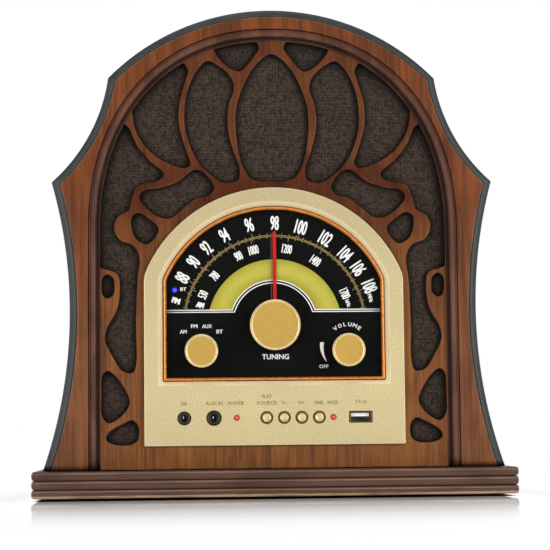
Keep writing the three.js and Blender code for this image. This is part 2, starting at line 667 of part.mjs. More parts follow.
// ---------------------------------------------------------------- loudspeakers
const BASKET_FRONT = LAYER.baffle[1] + GAP;
for (const [side, x] of [["left", -SPEAKER.x], ["right", SPEAKER.x]]) {
  const d = BASKET_FRONT;
  const r = SPEAKER.radius;
  const basket = [
    [r, d], [r, d + 1.5], [r - 3.5, d + 1.5], [23, d + 18], [11.5, d + 18], [11.5, d + 16.6],
    [22, d + 16.6], [r - 5, d + 1], [r - 5, d],
  ];
  part("speaker_frame_" + side, turned(x, SPEAKER.z, basket, 18), steel);
  const cone = [
    [0, d + 5], [6, d + 5.8], [9.5, d + 8.5], [26, d + 1.2], [29.5, d + 0.4], [31, d + 1.6],
    [27, d + 2.6], [10, d + 10.5], [10, d + 24], [9.2, d + 24], [9.2, d + 9.5], [6, d + 7.2],
    [0, d + 6.4],
  ];
  part("speaker_cone_" + side, turned(x, SPEAKER.z, cone, 16), paper);
  const magnet = [
    [0, d + 18 + GAP], [8.4, d + 18 + GAP], [8.4, d + 26], [10.8, d + 26], [10.8, d + 18 + GAP],
    [25, d + 18 + GAP], [25, d + 31], [0, d + 31],
  ];
  part("speaker_magnet_" + side, turned(x, SPEAKER.z, magnet, 16), ferrite);
}

// ---------------------------------------------------------------- main board, transformer, aerial
const MAIN_PILLARS = [[-74, 64], [34, 64], [-74, 112], [34, 112]];
part("main_board", boardOnPillars([-80, 40], [58, 118], FLOOR_Z + 6, MAIN_PILLARS), circuitBoard);

function powerTransformer() {
  const [x, z] = [82, FLOOR_Z + 18];
  const core = block(x, z, 42, 35, [74, 92]);
  const bobbin = block(x, z, 27, 22, [66, 100]);
  const bracket = block(x, FLOOR_Z + 0.6, 60, 1.2, [76, 90]);
  return joined(core, bobbin, bracket);
}
part("power_transformer", powerTransformer(), steel);

// The AM aerial: a ferrite rod across the cabinet, its coil, and a bracket on the chassis.
const AERIAL = { z: 168, depth: 42, radius: 4.5, halfLength: 45 };
const acrossX = (radius, from, to, segments = 16) =>
  solid(
    new THREE.CylinderGeometry(radius, radius, to - from, segments)
      .rotateZ(Math.PI / 2)
      .translate((from + to) / 2, FACE_Y + AERIAL.depth, AERIAL.z),
  );
part("aerial_rod", acrossX(AERIAL.radius, -AERIAL.halfLength, AERIAL.halfLength), ferrite);
part(
  "aerial_coil",
  cutFrom(
    acrossX(AERIAL.radius + 1.9, -16, 16, 20),
    acrossX(AERIAL.radius + GAP, -17, 17, 20),
  ),
  copperWire,
);
function aerialBracket() {
  const ring = (x) => acrossX(AERIAL.radius + 2, x - 2, x + 2, 16);
  const arm = (x) => block(x, AERIAL.z - 8, 4, 14, [BODY_FRONT + 2, AERIAL.depth + 3]);
  const plate = block(0, AERIAL.z - 15, 70, 8, [BODY_FRONT, BODY_FRONT + 2.2]);
  const bar = block(0, AERIAL.z - 13.5, 66, 3, [BODY_FRONT + 2, BODY_FRONT + 5]);
  const body = joined(plate, bar, ...[-30, 30].flatMap((x) => [ring(x), arm(x)]));
  return cutFrom(body, acrossX(AERIAL.radius + GAP, -60, 60, 16));
}
part("aerial_bracket", aerialBracket(), darkPlastic);

export default radio;
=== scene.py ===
"""The looks of a table-top cathedral radio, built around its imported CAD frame.

Metres, +Z up, the front faces -Y. Sizes below are in millimetres, as x, height above the plinth's
underside, and depth behind the cabinet's front face; at() turns them into the frame's metres.
"""
import math

import bmesh
import bpy
from mathutils import Matrix, Vector
from mathutils.geometry import delaunay_2d_cdt, interpolate_bezier


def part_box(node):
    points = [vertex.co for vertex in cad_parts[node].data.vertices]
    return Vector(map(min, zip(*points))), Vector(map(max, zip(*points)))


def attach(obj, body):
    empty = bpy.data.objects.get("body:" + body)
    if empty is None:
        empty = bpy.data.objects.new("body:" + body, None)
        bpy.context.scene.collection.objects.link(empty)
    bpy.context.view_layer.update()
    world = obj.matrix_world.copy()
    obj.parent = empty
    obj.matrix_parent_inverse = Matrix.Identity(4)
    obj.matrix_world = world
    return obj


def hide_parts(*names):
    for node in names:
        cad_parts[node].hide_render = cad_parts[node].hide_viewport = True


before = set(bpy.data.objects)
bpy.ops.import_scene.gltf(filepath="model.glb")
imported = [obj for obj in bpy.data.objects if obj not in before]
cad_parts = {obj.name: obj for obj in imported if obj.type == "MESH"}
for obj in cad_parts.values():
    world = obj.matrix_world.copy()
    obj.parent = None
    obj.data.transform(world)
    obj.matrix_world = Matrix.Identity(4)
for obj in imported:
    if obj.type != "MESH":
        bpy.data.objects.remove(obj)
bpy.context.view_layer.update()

MM = 0.001
BASE_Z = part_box("plinth")[0].z
FACE_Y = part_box("front_frame")[0].y
BACK = round((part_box("cabinet_shell")[1].y - FACE_Y) / MM, 3)  # depth of the shell's rear edge
DIAL_FRONT = round((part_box("dial_plate")[0].y - FACE_Y) / MM, 3)

# ---------------------------------------------------------------- the design, as in the CAD
FOOT_Z = 16.8
PLINTH = {"half_width": 150, "half_depth": 82, "height": 16.5, "corner": 5}
FRAME_POINTS = {
    "foot": (143.4, FOOT_Z), "waist": (127, 112), "horn": (138.2, 196),
    "flank": (112.7, 230), "shoulder": (103, 262), "crown": (0, 305.5),
}
ARCH = {"half_width": 115.6, "spring": 165, "rise": 128.2, "exponent": 2.2}
BEAD_WIDTH = 7.2
BOARD = 18  # thickness of the front board
EDGE = 4.6  # width of its rounded black edge
STEP = 0.3  # the black edge starts this far behind the veneer's face
RIM_OUT = 0.25  # thickness of the lacquer on the board's edge
SHELL_OUT, SHELL_WALL = 7, 6  # the shell stands this far outside the arch, and is this thick
PANEL_THICK = 4
SEAT = 4.7  # depth of the backs of the bead, the escutcheon and the bezel
FRET_FRONT, FRET_BACK = 5, 9
CLOTH_FRONT, CLOTH_BACK = 9.3, 10.1
PLATE_FRONT = 1.7
# windows: half width, bottom, radius of the top, radius of the shoulders
PLATE_OUTLINE = (81.2, 31.2, 87, 18)
PLATE_WINDOW = (72.3, 68.3, 78.3, 10)
BEZEL_WINDOW = (69, 71.6, 75, 6.8)
LENS_OPENING = (71, 69, 77, 8)
VENT = {"x": 45, "z": 231, "radius": 36, "pitch": 10, "height": 3.6}
INLET = {"x": 70, "z": 46, "width": 20, "height": 10}
BACK_SCREWS = ((-104, 36), (104, 36), (-72, 255), (72, 255))
AXIS_Z = 105.4  # height of the tuning shaft, which the dial's arcs share
SIDE_X, SIDE_Z = 45.7, 89.7
CONTROL_Z = 48.2  # height of the row of sockets and buttons
BUTTON_X = (-5.3, 5.6, 16.5, 27.4)
BUTTON_RADIUS, BUTTON_BORE = 2.8, 4
JACKS = {"headphone_jack": (-56.5, 3.9), "aux_jack": (-38.1, 4.4)}  # x, collar radius
LAMP_X = {"power_lamp": -24, "mode_lamp": 36.2}
DIAL_LAMP = {"x": -62, "z": 128.6, "front": 8.6}
USB_X = 53.3
CENTRE_PETAL = [
    (0, 278), (6, 275), (13, 267), (19, 255), (22.5, 243), (23, 231), (21.5, 217), (18.5, 206),
    (14, 199), (8, 197),
]
SIDE_HOLES = {
    "crown": [
        (8, 282), (10, 286.5), (22, 287.2), (32, 285.2), (36, 281), (31, 273), (24, 267.8),
        (20, 267.2), (12, 275.5),
    ],
    "inner_petal": [
        (40.5, 273.5), (46, 269), (52, 258), (55, 244), (54.5, 229), (48, 211), (39, 201),
        (31, 196), (22, 197.5), (20.9, 205), (24.6, 216), (28, 231), (27.3, 245), (23.9, 256.5),
        (26.8, 264.5), (34.5, 271),
    ],
    "outer_petal": [
        (56.5, 272.5), (66, 269), (79, 258.5), (87.5, 249), (87.8, 238), (85, 227), (76, 215),
        (66, 208.5), (56, 205.2), (51.9, 207.5), (54.6, 217), (58.7, 232), (58.6, 246),
        (54.6, 260.5), (53, 268),
    ],
    "field": [
        (97, 234), (104, 224), (109, 207), (112.5, 187), (113.5, 165), (113.5, 145), (106, 141.8),
        (97.8, 138.5), (96, 130), (98, 116), (104, 105), (105.3, 97), (101, 87.5), (94.5, 78),
        (88.5, 77), (86.3, 82), (86.3, 106), (85.3, 134), (84, 149), (88, 156.3), (96, 159.8),
        (99.8, 167.5), (97, 175), (90.5, 179), (88.5, 187), (84.5, 194.2), (71.5, 197.5),
        (68.5, 201.5), (78, 210.5), (85.5, 220), (91, 231.5),
    ],
    "crescent": [
        (49, 204), (60, 196.3), (71, 192.6), (81, 190.8), (83.8, 187), (79, 179.5), (70, 173.8),
        (63.5, 174), (56, 180), (48, 185.8), (40, 188.2), (37, 193), (43, 202),
    ],
    "eye": [
        (84, 176.8), (88.2, 174.8), (88.8, 168), (85.5, 160.3), (79.5, 157.3), (74.5, 160.8),
        (72, 167), (78, 173.3),
    ],
    "slot": [
        (103.8, 138.2), (106.6, 136.6), (107.7, 130.8), (106.6, 125), (103.8, 123.4),
        (100.4, 125.6), (99.6, 130.8), (100.4, 136),
    ],
    "leaf": [
        (104, 78), (107, 75.5), (107.8, 63), (107.3, 50), (103.5, 45.8), (96, 49.5), (90.3, 58),
        (94, 68), (100.3, 76),
    ],
    "wedge": [
        (88.5, 47.2), (94, 45.3), (103.5, 39.5), (104.8, 35.5), (100, 32.5), (89, 32.5),
        (85.2, 35.5), (85, 43.5),
    ],
}


def at(x, z, depth):
    return Vector((x * MM, FACE_Y + depth * MM, BASE_Z + z * MM))


# ---------------------------------------------------------------- material nodes
class Nodes:
    """Short ways to add shader nodes to one material, or to the world, and join them up."""

    def __init__(self, name, owners=bpy.data.materials, shader="Principled BSDF"):
        self.owner = owners.new(name)
        self.owner.use_nodes = True
        self.tree = self.owner.node_tree
        self.shader = self.tree.nodes[shader]

    def add(self, kind, inputs=None, **settings):
        node = self.tree.nodes.new("ShaderNode" + kind)
        for key, value in settings.items():
            setattr(node, key, value)
        for key, value in (inputs or {}).items():
            self.put(value, node.inputs[key])
        return node

    def put(self, value, socket):
        if isinstance(value, bpy.types.NodeSocket):
            self.tree.links.new(value, socket)
        elif isinstance(value, tuple) and len(value) == 3 and socket.type == "RGBA":
            socket.default_value = (*value, 1)
        else:
            socket.default_value = value

    def coords(self, scale=(1, 1, 1), turn=(0, 0, 0)):
        """The object's own coordinates in millimetres, scaled."""
        source = self.add("TexCoord").outputs["Object"]
        mapping = self.add("Mapping", {"Vector": source, "Scale": tuple(1000 * s for s in scale)})
        mapping.inputs["Rotation"].default_value = turn
        return mapping.outputs["Vector"]

    def noise(self, vector, scale=1.0, detail=3.0, rough=0.5, distort=0.0):
        inputs = {
            "Vector": vector, "Scale": scale, "Detail": detail, "Roughness": rough,
            "Distortion": distort,
        }
        return self.add("TexNoise", inputs).outputs["Fac"]

    def mottle(self, scale, detail=3, rough=0.5):
        """Noise with the same scale, per millimetre, in every direction."""
        return self.noise(self.coords((scale, scale, scale)), 1, detail, rough)

    def height(self):
        return self.add("SeparateXYZ", {0: self.coords()}).outputs["Z"]

    def ramp(self, value, low, high, to_low=0.0, to_high=1.0, kind="SMOOTHSTEP"):
        inputs = {
            "Value": value, "From Min": low, "From Max": high, "To Min": to_low, "To Max": to_high,
        }
        return self.add("MapRange", inputs, interpolation_type=kind).outputs["Result"]

    def mix(self, factor, a, b, blend="MIX"):
        node = self.add("Mix", data_type="RGBA", blend_type=blend)
        self.put(factor, node.inputs[0])
        self.put(a, node.inputs[6])
        self.put(b, node.inputs[7])
        return node.outputs[2]

    def scaled_tone(self, share, tone, multiplier):
        """The tone, multiplied by the colour multiplier where share is 1."""
        return self.mix(share, tone, self.mix(1.0, tone, multiplier, "MULTIPLY"))

    def math(self, operation, a, b=0.0):
        node = self.add("Math", operation=operation)
        self.put(a, node.inputs[0])
        self.put(b, node.inputs[1])
        return node.outputs[0]

    def blended(self, share, first, second):
        """One shader where share is 0 and another where it is 1."""
        return self.add("MixShader", {0: share, 1: first.outputs[0], 2: second.outputs[0]})

    def bump(self, height, strength, distance_mm):
        inputs = {"Height": height, "Strength": strength, "Distance": distance_mm * MM}
        self.put(self.add("Bump", inputs).outputs["Normal"], self.shader.inputs["Normal"])

    def set(self, **values):
        names = {
            "color": "Base Color", "roughness": "Roughness", "metallic": "Metallic",
            "specular": "Specular IOR Level", "sheen": "Sheen Weight", "alpha": "Alpha",
            "emission": "Emission Color", "glow": "Emission Strength",
        }
        for key, value in values.items():
            self.put(value, self.shader.inputs[names[key]])
        return self.owner


def srgb(red, green, blue):
    """A colour as it looks on a screen, 0 to 255, as linear light."""
    def one(value):
        value /= 255
        return value / 12.92 if value <= 0.04045 else ((value + 0.055) / 1.055) ** 2.4
    return (one(red), one(green), one(blue))


def times(factor, tone):
    return tuple(min(1, factor * c) for c in tone)


def wood(name, light, dark, deep, grain="z", gloss=0.38, streak=1.0, edge_highlight=None, upper=None,
         band=None):
    """Veneer: broad patches, fine streaks and dark pores drawn out along the grain.

    The colour is multiplied by upper towards the top of the radio, if it is given: painted shade,
    darker towards the top, and on these woods partly a redder tone; again by band in uneven patches
    over the dial.
    """
    n = Nodes(name)
    light, dark, deep = srgb(*light), srgb(*dark), srgb(*deep)

    def drawn(across, along):
        """Coordinates with one scale across the grain and another along it."""
        return n.coords({"x": (along, across, across), "y": (across, along, across),
                         "z": (across, across, along)}[grain])

    patches = n.noise(drawn(0.07, 0.02), 1, 2, 0.5, 0.4)
    bands = n.noise(drawn(0.22, 0.01), 1, 4, 0.6, 0.2)
    fine = n.noise(drawn(0.75, 0.02), 1, 3, 0.65)
    pores = n.noise(drawn(2.0, 0.06), 1, 2, 0.6)
    tone = n.mix(n.ramp(patches, 0.36, 0.64), dark, light)
    tone = n.mix(n.ramp(bands, 0.42, 0.72, 0, 0.5 * streak), tone, deep)
    tone = n.mix(n.ramp(fine, 0.45, 0.72, 0, 0.4 * streak), tone, times(1.5, light))
    tone = n.mix(n.ramp(fine, 0.46, 0.3, 0, 0.35 * streak), tone, deep)
    tone = n.mix(n.ramp(pores, 0.58, 0.7, 0, 0.6 * streak), tone, times(0.5, deep))
    # upper: darker towards the top, painted shade, partly also a redder tone of the wood
    if upper:
        tone = n.scaled_tone(n.ramp(n.height(), 70, 200), tone, upper)
    if band:
        middle, uneven = 194, 26  # the band's height, and how far its edges wander
        off = n.math("ABSOLUTE", n.math("SUBTRACT", n.height(), middle))
        off = n.math("ADD", off, n.math("MULTIPLY", n.mottle(0.06), uneven))
        tone = n.scaled_tone(n.ramp(off, 44, 14), tone, band)
    # paler wood on the convex edges, in patches: painted highlight
    if edge_highlight:
        edge = n.add("NewGeometry").outputs["Pointiness"]
        patchy = n.ramp(n.mottle(0.12), 0.35, 0.65)
        amount = n.math("MULTIPLY", n.ramp(edge, 0.51, 0.56), patchy)
        tone = n.mix(n.math("MULTIPLY", amount, 0.6), tone, srgb(*edge_highlight))
    n.bump(n.math("ADD", fine, n.math("MULTIPLY", pores, -1.5)), 0.25, 0.12)
    return n.set(color=tone, roughness=n.ramp(bands, 0.2, 0.8, gloss - 0.06, gloss + 0.1),
                 specular=0.1)


def lacquer(name, dark, light):
    """Black lacquer, rubbed to a satin grey where light is paler."""
    n = Nodes(name)
    cloud = n.noise(n.coords((0.05, 0.05, 0.02)), 1, 3)
    tone = n.mix(n.ramp(cloud, 0.3, 0.7), srgb(*dark), srgb(*light))
    n.bump(n.mottle(0.3, 2), 0.1, 0.1)
    return n.set(color=tone, roughness=n.ramp(cloud, 0.3, 0.7, 0.42, 0.5), specular=0.22)


def cloth_weave():
    """A fine weave whose threads run up or across at random from cell to cell."""
    n = Nodes("grille_fabric")
    pitch = 0.95
    place = n.coords((1 / pitch, 1 / pitch, 1 / pitch))
    cell = n.add("VectorMath", {0: place}, operation="FLOOR").outputs[0]
    inside = n.add("VectorMath", {0: place}, operation="FRACTION").outputs[0]
    flat_cell = n.add("VectorMath", {0: cell, 1: (1, 0, 1)}, operation="MULTIPLY").outputs[0]
    chance = n.add("TexWhiteNoise", {"Vector": flat_cell}, noise_dimensions="3D").outputs["Value"]
    axes = n.add("SeparateXYZ", {0: inside})
    across = n.add("Mix", data_type="FLOAT")
    n.put(n.math("GREATER_THAN", chance, 0.5), across.inputs[0])
    n.put(axes.outputs["X"], across.inputs[2])
    n.put(axes.outputs["Z"], across.inputs[3])
    ridge = n.math("ABSOLUTE", n.math("SUBTRACT", across.outputs[0], 0.5))
    thread = n.ramp(ridge, 0.42, 0.12)
    slub = n.ramp(n.mottle(0.5, 4, 0.7), 0.35, 0.65, 0.25, 1)
    hue = n.ramp(n.mottle(0.7, 1), 0.35, 0.65)
    pale = n.mix(hue, srgb(94, 72, 63), srgb(84, 75, 63))
    tone = n.mix(n.math("MULTIPLY", thread, slub), srgb(20, 16, 14), pale)
    # darker where the fretwork lies close over the cloth, from ambient occlusion: painted shade
    occlusion_shade = n.add("AmbientOcclusion", {"Distance": 18 * MM}, samples=8).outputs["AO"]
    tone = n.mix(n.ramp(occlusion_shade, 0.38, 0.92), srgb(16, 15, 12), tone)
    n.bump(thread, 0.4, 0.25)
    return n.set(color=tone, roughness=0.92, specular=0.1, sheen=0.08)


def grained_metal(name, tone, spread, rough, metallic, grain=0.8, height=0.02, upper=None):
    """A metallic paint or anodised finish with a fine mottled grain.

    It is multiplied by the colour upper towards the top of the dial, if that is given: painted
    shade, darker towards the top.
    """
    n = Nodes(name)
    speckle, drift = n.mottle(grain, 4, 0.7), n.mottle(0.02, 2)
    low, high = times(1 - spread, srgb(*tone)), times(1 + spread, srgb(*tone))
    mottled = n.mix(n.ramp(speckle, 0.3, 0.7), low, high)
    mottled = n.mix(n.ramp(drift, 0.3, 0.7, 0, 0.25), mottled, low)
    if upper:
        mottled = n.scaled_tone(n.ramp(n.height(), 60, 200), mottled, upper)
    n.bump(speckle, 0.3, height)
    return n.set(color=mottled, roughness=n.ramp(speckle, 0.3, 0.7, rough - 0.06, rough + 0.06),
                 metallic=metallic, specular=0.5)


def brushed(name, tone, rough, metallic=0.7, along=(3.0, 3.0, 0.06)):
    """Bare metal with fine lines; along is the scale of the noise on each axis."""
    n = Nodes(name)
    lines = n.noise(n.coords(along), 1, 3, 0.6)
    low, high = times(0.88, srgb(*tone)), times(1.08, srgb(*tone))
    n.bump(lines, 0.15, 0.02)
    return n.set(color=n.mix(n.ramp(lines, 0.3, 0.7), low, high), metallic=metallic,
                 roughness=n.ramp(lines, 0.3, 0.7, rough - 0.05, rough + 0.08), specular=0.5)


def paint(name, tone, rough, specular=0.5, spread=0.12, grain=0.5, bump=0.01, glow=0.0):
    """Moulded plastic, ink, rubber or enamel: one colour with a faint mottle and a fine surface."""
    n = Nodes(name)
    tone, mottle = srgb(*tone), n.mottle(grain)
    low = times(1 - spread, tone)
    n.bump(mottle, 0.2, bump)
    return n.set(color=n.mix(n.ramp(mottle, 0.3, 0.7), low, tone), specular=specular, emission=tone,
                 glow=glow, roughness=n.ramp(mottle, 0.3, 0.7, rough - 0.05, rough + 0.05))


def lamp_glow(name, tone, strength):
    n = Nodes(name)
    tone = srgb(*tone)
    pale = tuple(min(1, c + 0.06) for c in tone)
    lit = n.mix(n.ramp(n.mottle(0.9, 2), 0.3, 0.7), tone, pale)
    return n.set(color=lit, emission=lit, glow=strength, roughness=0.15)


def clear():
    n = Nodes("clear_acrylic")
    haze = n.mottle(0.05, 2)
    tint = n.mix(haze, (0.02, 0.02, 0.02), (0.03, 0.03, 0.03))
    return n.set(color=tint, alpha=0.04, roughness=n.ramp(haze, 0.3, 0.7, 0.03, 0.08))


WALNUT = wood("walnut_veneer", (120, 75, 44), (100, 61, 38), (64, 39, 26), upper=(0.9, 0.7, 0.58))
FRETWOOD = wood("fretwork_walnut", (134, 84, 42), (110, 66, 37), (68, 40, 26), edge_highlight=(150, 100, 74),
                upper=(0.54, 0.44, 0.46), band=(0.6, 0.45, 0.5))
RAW_EDGE = wood("raw_veneer_edge", (124, 98, 78), (108, 84, 66), (86, 62, 48))
# dark wood for the cut walls of the fretwork's holes: painted shade
SHADED_WALL = wood("saw_cut_painted_shade", (48, 28, 20), (36, 22, 16), (22, 14, 11), grain="y",
                 gloss=0.55, streak=0.5)
SHELL_WOOD = wood("shell_walnut", (118, 72, 43), (104, 62, 38), (66, 38, 25), grain="y",
                  streak=0.7)
BEAD_WOOD = wood("bead_mahogany", (98, 65, 52), (76, 48, 38), (46, 27, 20), gloss=0.3, streak=0.5)
# dark wood for the bead's inner fall and the plinth's grooves, underside and top: painted shade
SHADE_WOOD = wood("wood_painted_shade", (54, 32, 24), (40, 24, 18), (26, 15, 12), gloss=0.5, streak=0.5)
PLINTH_WOOD = wood("plinth_mahogany", (90, 66, 54), (77, 56, 46), (47, 33, 27), grain="x",
                   gloss=0.26, streak=0.6)
# paler wood for the lowest reed's bottom edge, as if lit from the floor: painted highlight
FLOOR_LIT_EDGE = wood("plinth_edge_painted_light", (164, 136, 107), (126, 99, 78), (84, 60, 46), grain="x",
                 gloss=0.5)
# a paler line along the upper edge of each reed: painted highlight
CREST_HIGHLIGHT = wood("plinth_crest_highlight", (124, 100, 90), (102, 79, 70), (68, 49, 41), grain="x",
                  gloss=0.3, streak=0.6)
PLYWOOD = wood("birch_plywood", (190, 154, 112), (168, 132, 92), (132, 98, 64), grain="x",
               gloss=0.6, streak=0.6)
BACK_WOOD = wood("back_board", (84, 58, 42), (64, 44, 32), (44, 28, 20), gloss=0.6, streak=0.5)
LACQUER = lacquer("black_lacquer", (48, 51, 51), (58, 62, 62))
# a darker copy of the lacquer for the outer half of the rounded edge: painted shade
SHADED_LACQUER = lacquer("black_lacquer_painted_shade", (24, 26, 26), (32, 34, 34))
CLOTH = cloth_weave()
CHAMPAGNE = grained_metal("champagne_paint", (198, 180, 132), 0.25, 0.5, 0.1, 1.2,
                          upper=(0.8, 0.8, 0.83))
# paler cream for the escutcheon's bevels: painted highlight
CREAM_HIGHLIGHT = grained_metal("champagne_edge_highlight", (226, 213, 172), 0.06, 0.35, 0.15, 1.2,
                           upper=(0.85, 0.85, 0.87))
COPPER = grained_metal("copper_paint", (222, 134, 52), 0.03, 0.28, 0.3, 0.25, 0.004)
GOLD = grained_metal("gold_face", (186, 148, 66), 0.05, 0.42, 0.3, 0.35)
BRIGHT_GOLD = brushed("gold_rim", (236, 212, 156), 0.28, 0.5)
PALE_GOLD = grained_metal("button_gold", (214, 194, 144), 0.08, 0.3, 0.45, 0.35)
STEEL = brushed("zinc_steel", (176, 178, 180), 0.35, 0.9)
DARK_BRASS = brushed("jack_ring", (104, 84, 46), 0.45, 0.4)
DARK_STEEL = brushed("dark_nickel", (96, 84, 68), 0.4, 0.7)
COPPER_WIRE = brushed("winding", (184, 100, 48), 0.4, 0.7, (6, 0.4, 0.4))
CLEAR = clear()
DIAL_BLACK = paint("dial_black", (9, 10, 8), 0.5, specular=0.03, grain=0.06, bump=0.001)
BLACK_PLASTIC = paint("black_plastic", (24, 24, 25), 0.38)
GLOSS_BLACK = paint("gloss_black", (12, 12, 13), 0.3, specular=0.3, bump=0.002)
# plastic that glows faintly, though it is no lamp: painted light
GLOWING_PLASTIC = paint("port_plastic_painted_glow", (240, 240, 242), 0.4, glow=0.3)
PALE_PLASTIC = paint("pale_plastic", (240, 240, 242), 0.4)
RED = paint("pointer_red", (204, 22, 20), 0.4, specular=0.2)
NEEDLE_HIGHLIGHT = paint("needle_side_highlight", (118, 110, 104), 0.4, specular=0.2)
# the white print glows faintly: painted light
WHITE_INK = paint("white_ink", (250, 250, 246), 0.5, specular=0.1, spread=0.05, glow=0.08)
PALE_INK = paint("pale_ink", (170, 166, 150), 0.5, specular=0.1, spread=0.2)
GREY_INK = paint("grey_ink", (150, 136, 96), 0.6, specular=0.1, spread=0.2, grain=1.2)
GOLD_INK = paint("gold_ink", (236, 204, 124), 0.5, specular=0.1, spread=0.25, grain=1.0)
# the green band glows faintly, lifting the shade on it: painted light
GREEN_INK = paint("green_ink", (192, 184, 74), 0.5, specular=0.1, spread=0.06, grain=0.1,
                  glow=0.04)
RUBBER = paint("rubber", (30, 30, 30), 0.8, specular=0.2, bump=0.05)
CONE = paint("cone_paper", (34, 32, 31), 0.85, specular=0.1, bump=0.08, grain=1.5)
FERRITE = paint("ferrite", (66, 62, 60), 0.6, bump=0.05)
BOARD_GREEN = paint("solder_mask", (40, 104, 62), 0.35, grain=0.15)
RED_GLOW = lamp_glow("red_lamp", (206, 20, 34), 0.18)
BLUE_GLOW = lamp_glow("blue_lamp", (40, 44, 235), 0.9)


# ---------------------------------------------------------------- meshes
def piece(name, body, material, bm, replaces=(), weighted=True):
    """A finished mesh that rides on a body."""
    bmesh.ops.remove_doubles(bm, verts=bm.verts, dist=1e-7)
    bmesh.ops.recalc_face_normals(bm, faces=bm.faces)
    mesh = bpy.data.meshes.new(name)
    bm.to_mesh(mesh)
    bm.free()
    mesh.shade_smooth()
    made = bpy.data.objects.new(name, mesh)
    bpy.context.scene.collection.objects.link(made)
    for entry in material if isinstance(material, list) else [material]:
        mesh.materials.append(entry)
    if weighted:
        smoother = made.modifiers.new("normals", "WEIGHTED_NORMAL")
        smoother.weight = 80
        smoother.keep_sharp = True
    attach(made, body)
    if replaces:
        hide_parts(*replaces)
    return made


def loft(rails, closed_rail=False, closed_profile=True, bm=None, index=0):
    """Faces between neighbouring rails, each a list of points with the same count."""
    bm = bm or bmesh.new()
    rows = [[bm.verts.new(point) for point in rail] for rail in rails]
    count = len(rails[0])
    for first, second in zip(rows, rows[1:] + (rows[:1] if closed_profile else [])):
        for i in range(count if closed_rail else count - 1):
            j = (i + 1) % count
            bm.faces.new((first[i], first[j], second[j], second[i])).material_index = index
    if not closed_rail and closed_profile:
        for end in (0, count - 1):
            bm.faces.new([row[end] for row in rows]).material_index = index
    if closed_rail and not closed_profile:
        for row in (rows[0], rows[-1]):
            bm.faces.new(row).material_index = index
    return bm


def ring(x, z, radius, depth, segments):
    """Points round a front-to-back axis."""
    return [
        at(x + radius * math.cos(2 * math.pi * i / segments),
           z + radius * math.sin(2 * math.pi * i / segments), depth)
        for i in range(segments)
    ]


def turned(x, z, profile, segments=64, hollow=False, bm=None, index=0):
    """A solid of revolution about a front-to-back axis.

    Its profile starts and ends on the axis, or closes on itself round a hole if it is hollow.
    """
    rails = [ring(x, z, radius, depth, segments) for radius, depth in profile]
    return loft(rails, closed_rail=True, closed_profile=hollow, bm=bm, index=index)


def tint_rows(bm, count, rows, index):
    """Gives rows of a loft's faces, each count faces long, another of the piece's materials."""
    bm.faces.ensure_lookup_table()
    for row in rows:
        for face in bm.faces[row * count:(row + 1) * count]:
            face.material_index = index


def area(points):
    return sum(a[0] * b[1] - b[0] * a[1] for a, b in zip(points, points[1:] + points[:1])) / 2


def moved_out(loop, across, up):
    """The outline with every corner moved out of the material it bounds, or into it if negative."""
    made = []
    for before, here, after in zip(loop[-1:] + loop[:-1], loop, loop[1:] + loop[:1]):
        first = (Vector(here) - Vector(before)).normalized()
        second = (Vector(after) - Vector(here)).normalized()
        out = Vector((first.y + second.y, -first.x - second.x))
        reach = min(1.6, 2 / max(out.length_squared, 0.1)) if out.length > 0.2 else 0
        made.append((here[0] + out.x * reach * across, here[1] + out.y * reach * up))
    return made


def turns_round(loops, x, z):
    """How many times the outlines go round a point, anticlockwise."""
    total = 0
    for loop in loops:
        for (ax, az), (bx, bz) in zip(loop, loop[1:] + loop[:1]):
            if (az > z) != (bz > z) and x < ax + (z - az) / (bz - az) * (bx - ax):
                total += 1 if bz > az else -1
    return total


def nested(loop, loops):
    """Whether a loop lies inside an odd number of the others, and so is a hole."""
    return turns_round([other for other in loops if other is not loop], *loop[0]) % 2 == 1


def triangles(loops):
    """Triangles that fill outlines, less their holes; the outlines may cross themselves."""
    corners = [Vector(p) for loop in loops for p in loop]
    edges, start = [], 0
    for loop in loops:
        edges += [(start + i, start + (i + 1) % len(loop)) for i in range(len(loop))]
        start += len(loop)
    points, _, faces, *_ = delaunay_2d_cdt(corners, edges, [], 0, 1e-6)
    kept = []
    for face in faces:
        middle = sum((points[i] for i in face), Vector((0, 0))) / 3
        if turns_round(loops, middle.x, middle.y) > 0:
            kept.append(face)
    return points, kept


def wound(loops):
    """The outlines anticlockwise, and the holes in them clockwise."""
    return [
        loop if (area(loop) > 0) != nested(loop, loops) else loop[::-1]
        for loop in loops
    ]


def plate(loops, front, back, edge=0.3, steps=2, bm=None, index=0, wall=None):
    """A flat plate, its outlines and holes drawn as x and height, with rounded edges.

    The cut walls take the material number wall, if it is given.
    """
    bm = bm or bmesh.new()
    levels = []
    for k in range(steps + 1):
        angle = math.pi / 2 * k / steps
        levels.append((edge * (math.sin(angle) - 1), edge * (1 - math.cos(angle))))
    loops = wound(loops)
    for loop in loops:
        rails = rails_of(lambda out: moved_out(loop, out, out), [
            *((out, front + deep) for out, deep in levels),
            *((out, back - deep) for out, deep in reversed(levels)),
        ])
        rows = [[bm.verts.new(point) for point in rail] for rail in rails]
        for level, (first, second) in enumerate(zip(rows, rows[1:])):
            for i in range(len(loop)):
                j = (i + 1) % len(loop)
                face = bm.faces.new((first[i], first[j], second[j], second[i]))
                face.material_index = wall if wall is not None and level == steps else index
    points, faces = triangles([moved_out(loop, -edge, -edge) for loop in loops])
    used = {i for face in faces for i in face}
    for depth in (front, back):
        cap = {i: bm.verts.new(at(points[i].x, points[i].y, depth)) for i in used}
        for face in faces:
            bm.faces.new([cap[i] for i in face]).material_index = index
    return bm


def chords(centre, radius, start, end, steps):
    return [
        (centre[0] + radius * math.cos(start + (end - start) * i / steps),
         centre[1] + radius * math.sin(start + (end - start) * i / steps))
        for i in range(steps + 1)
    ]


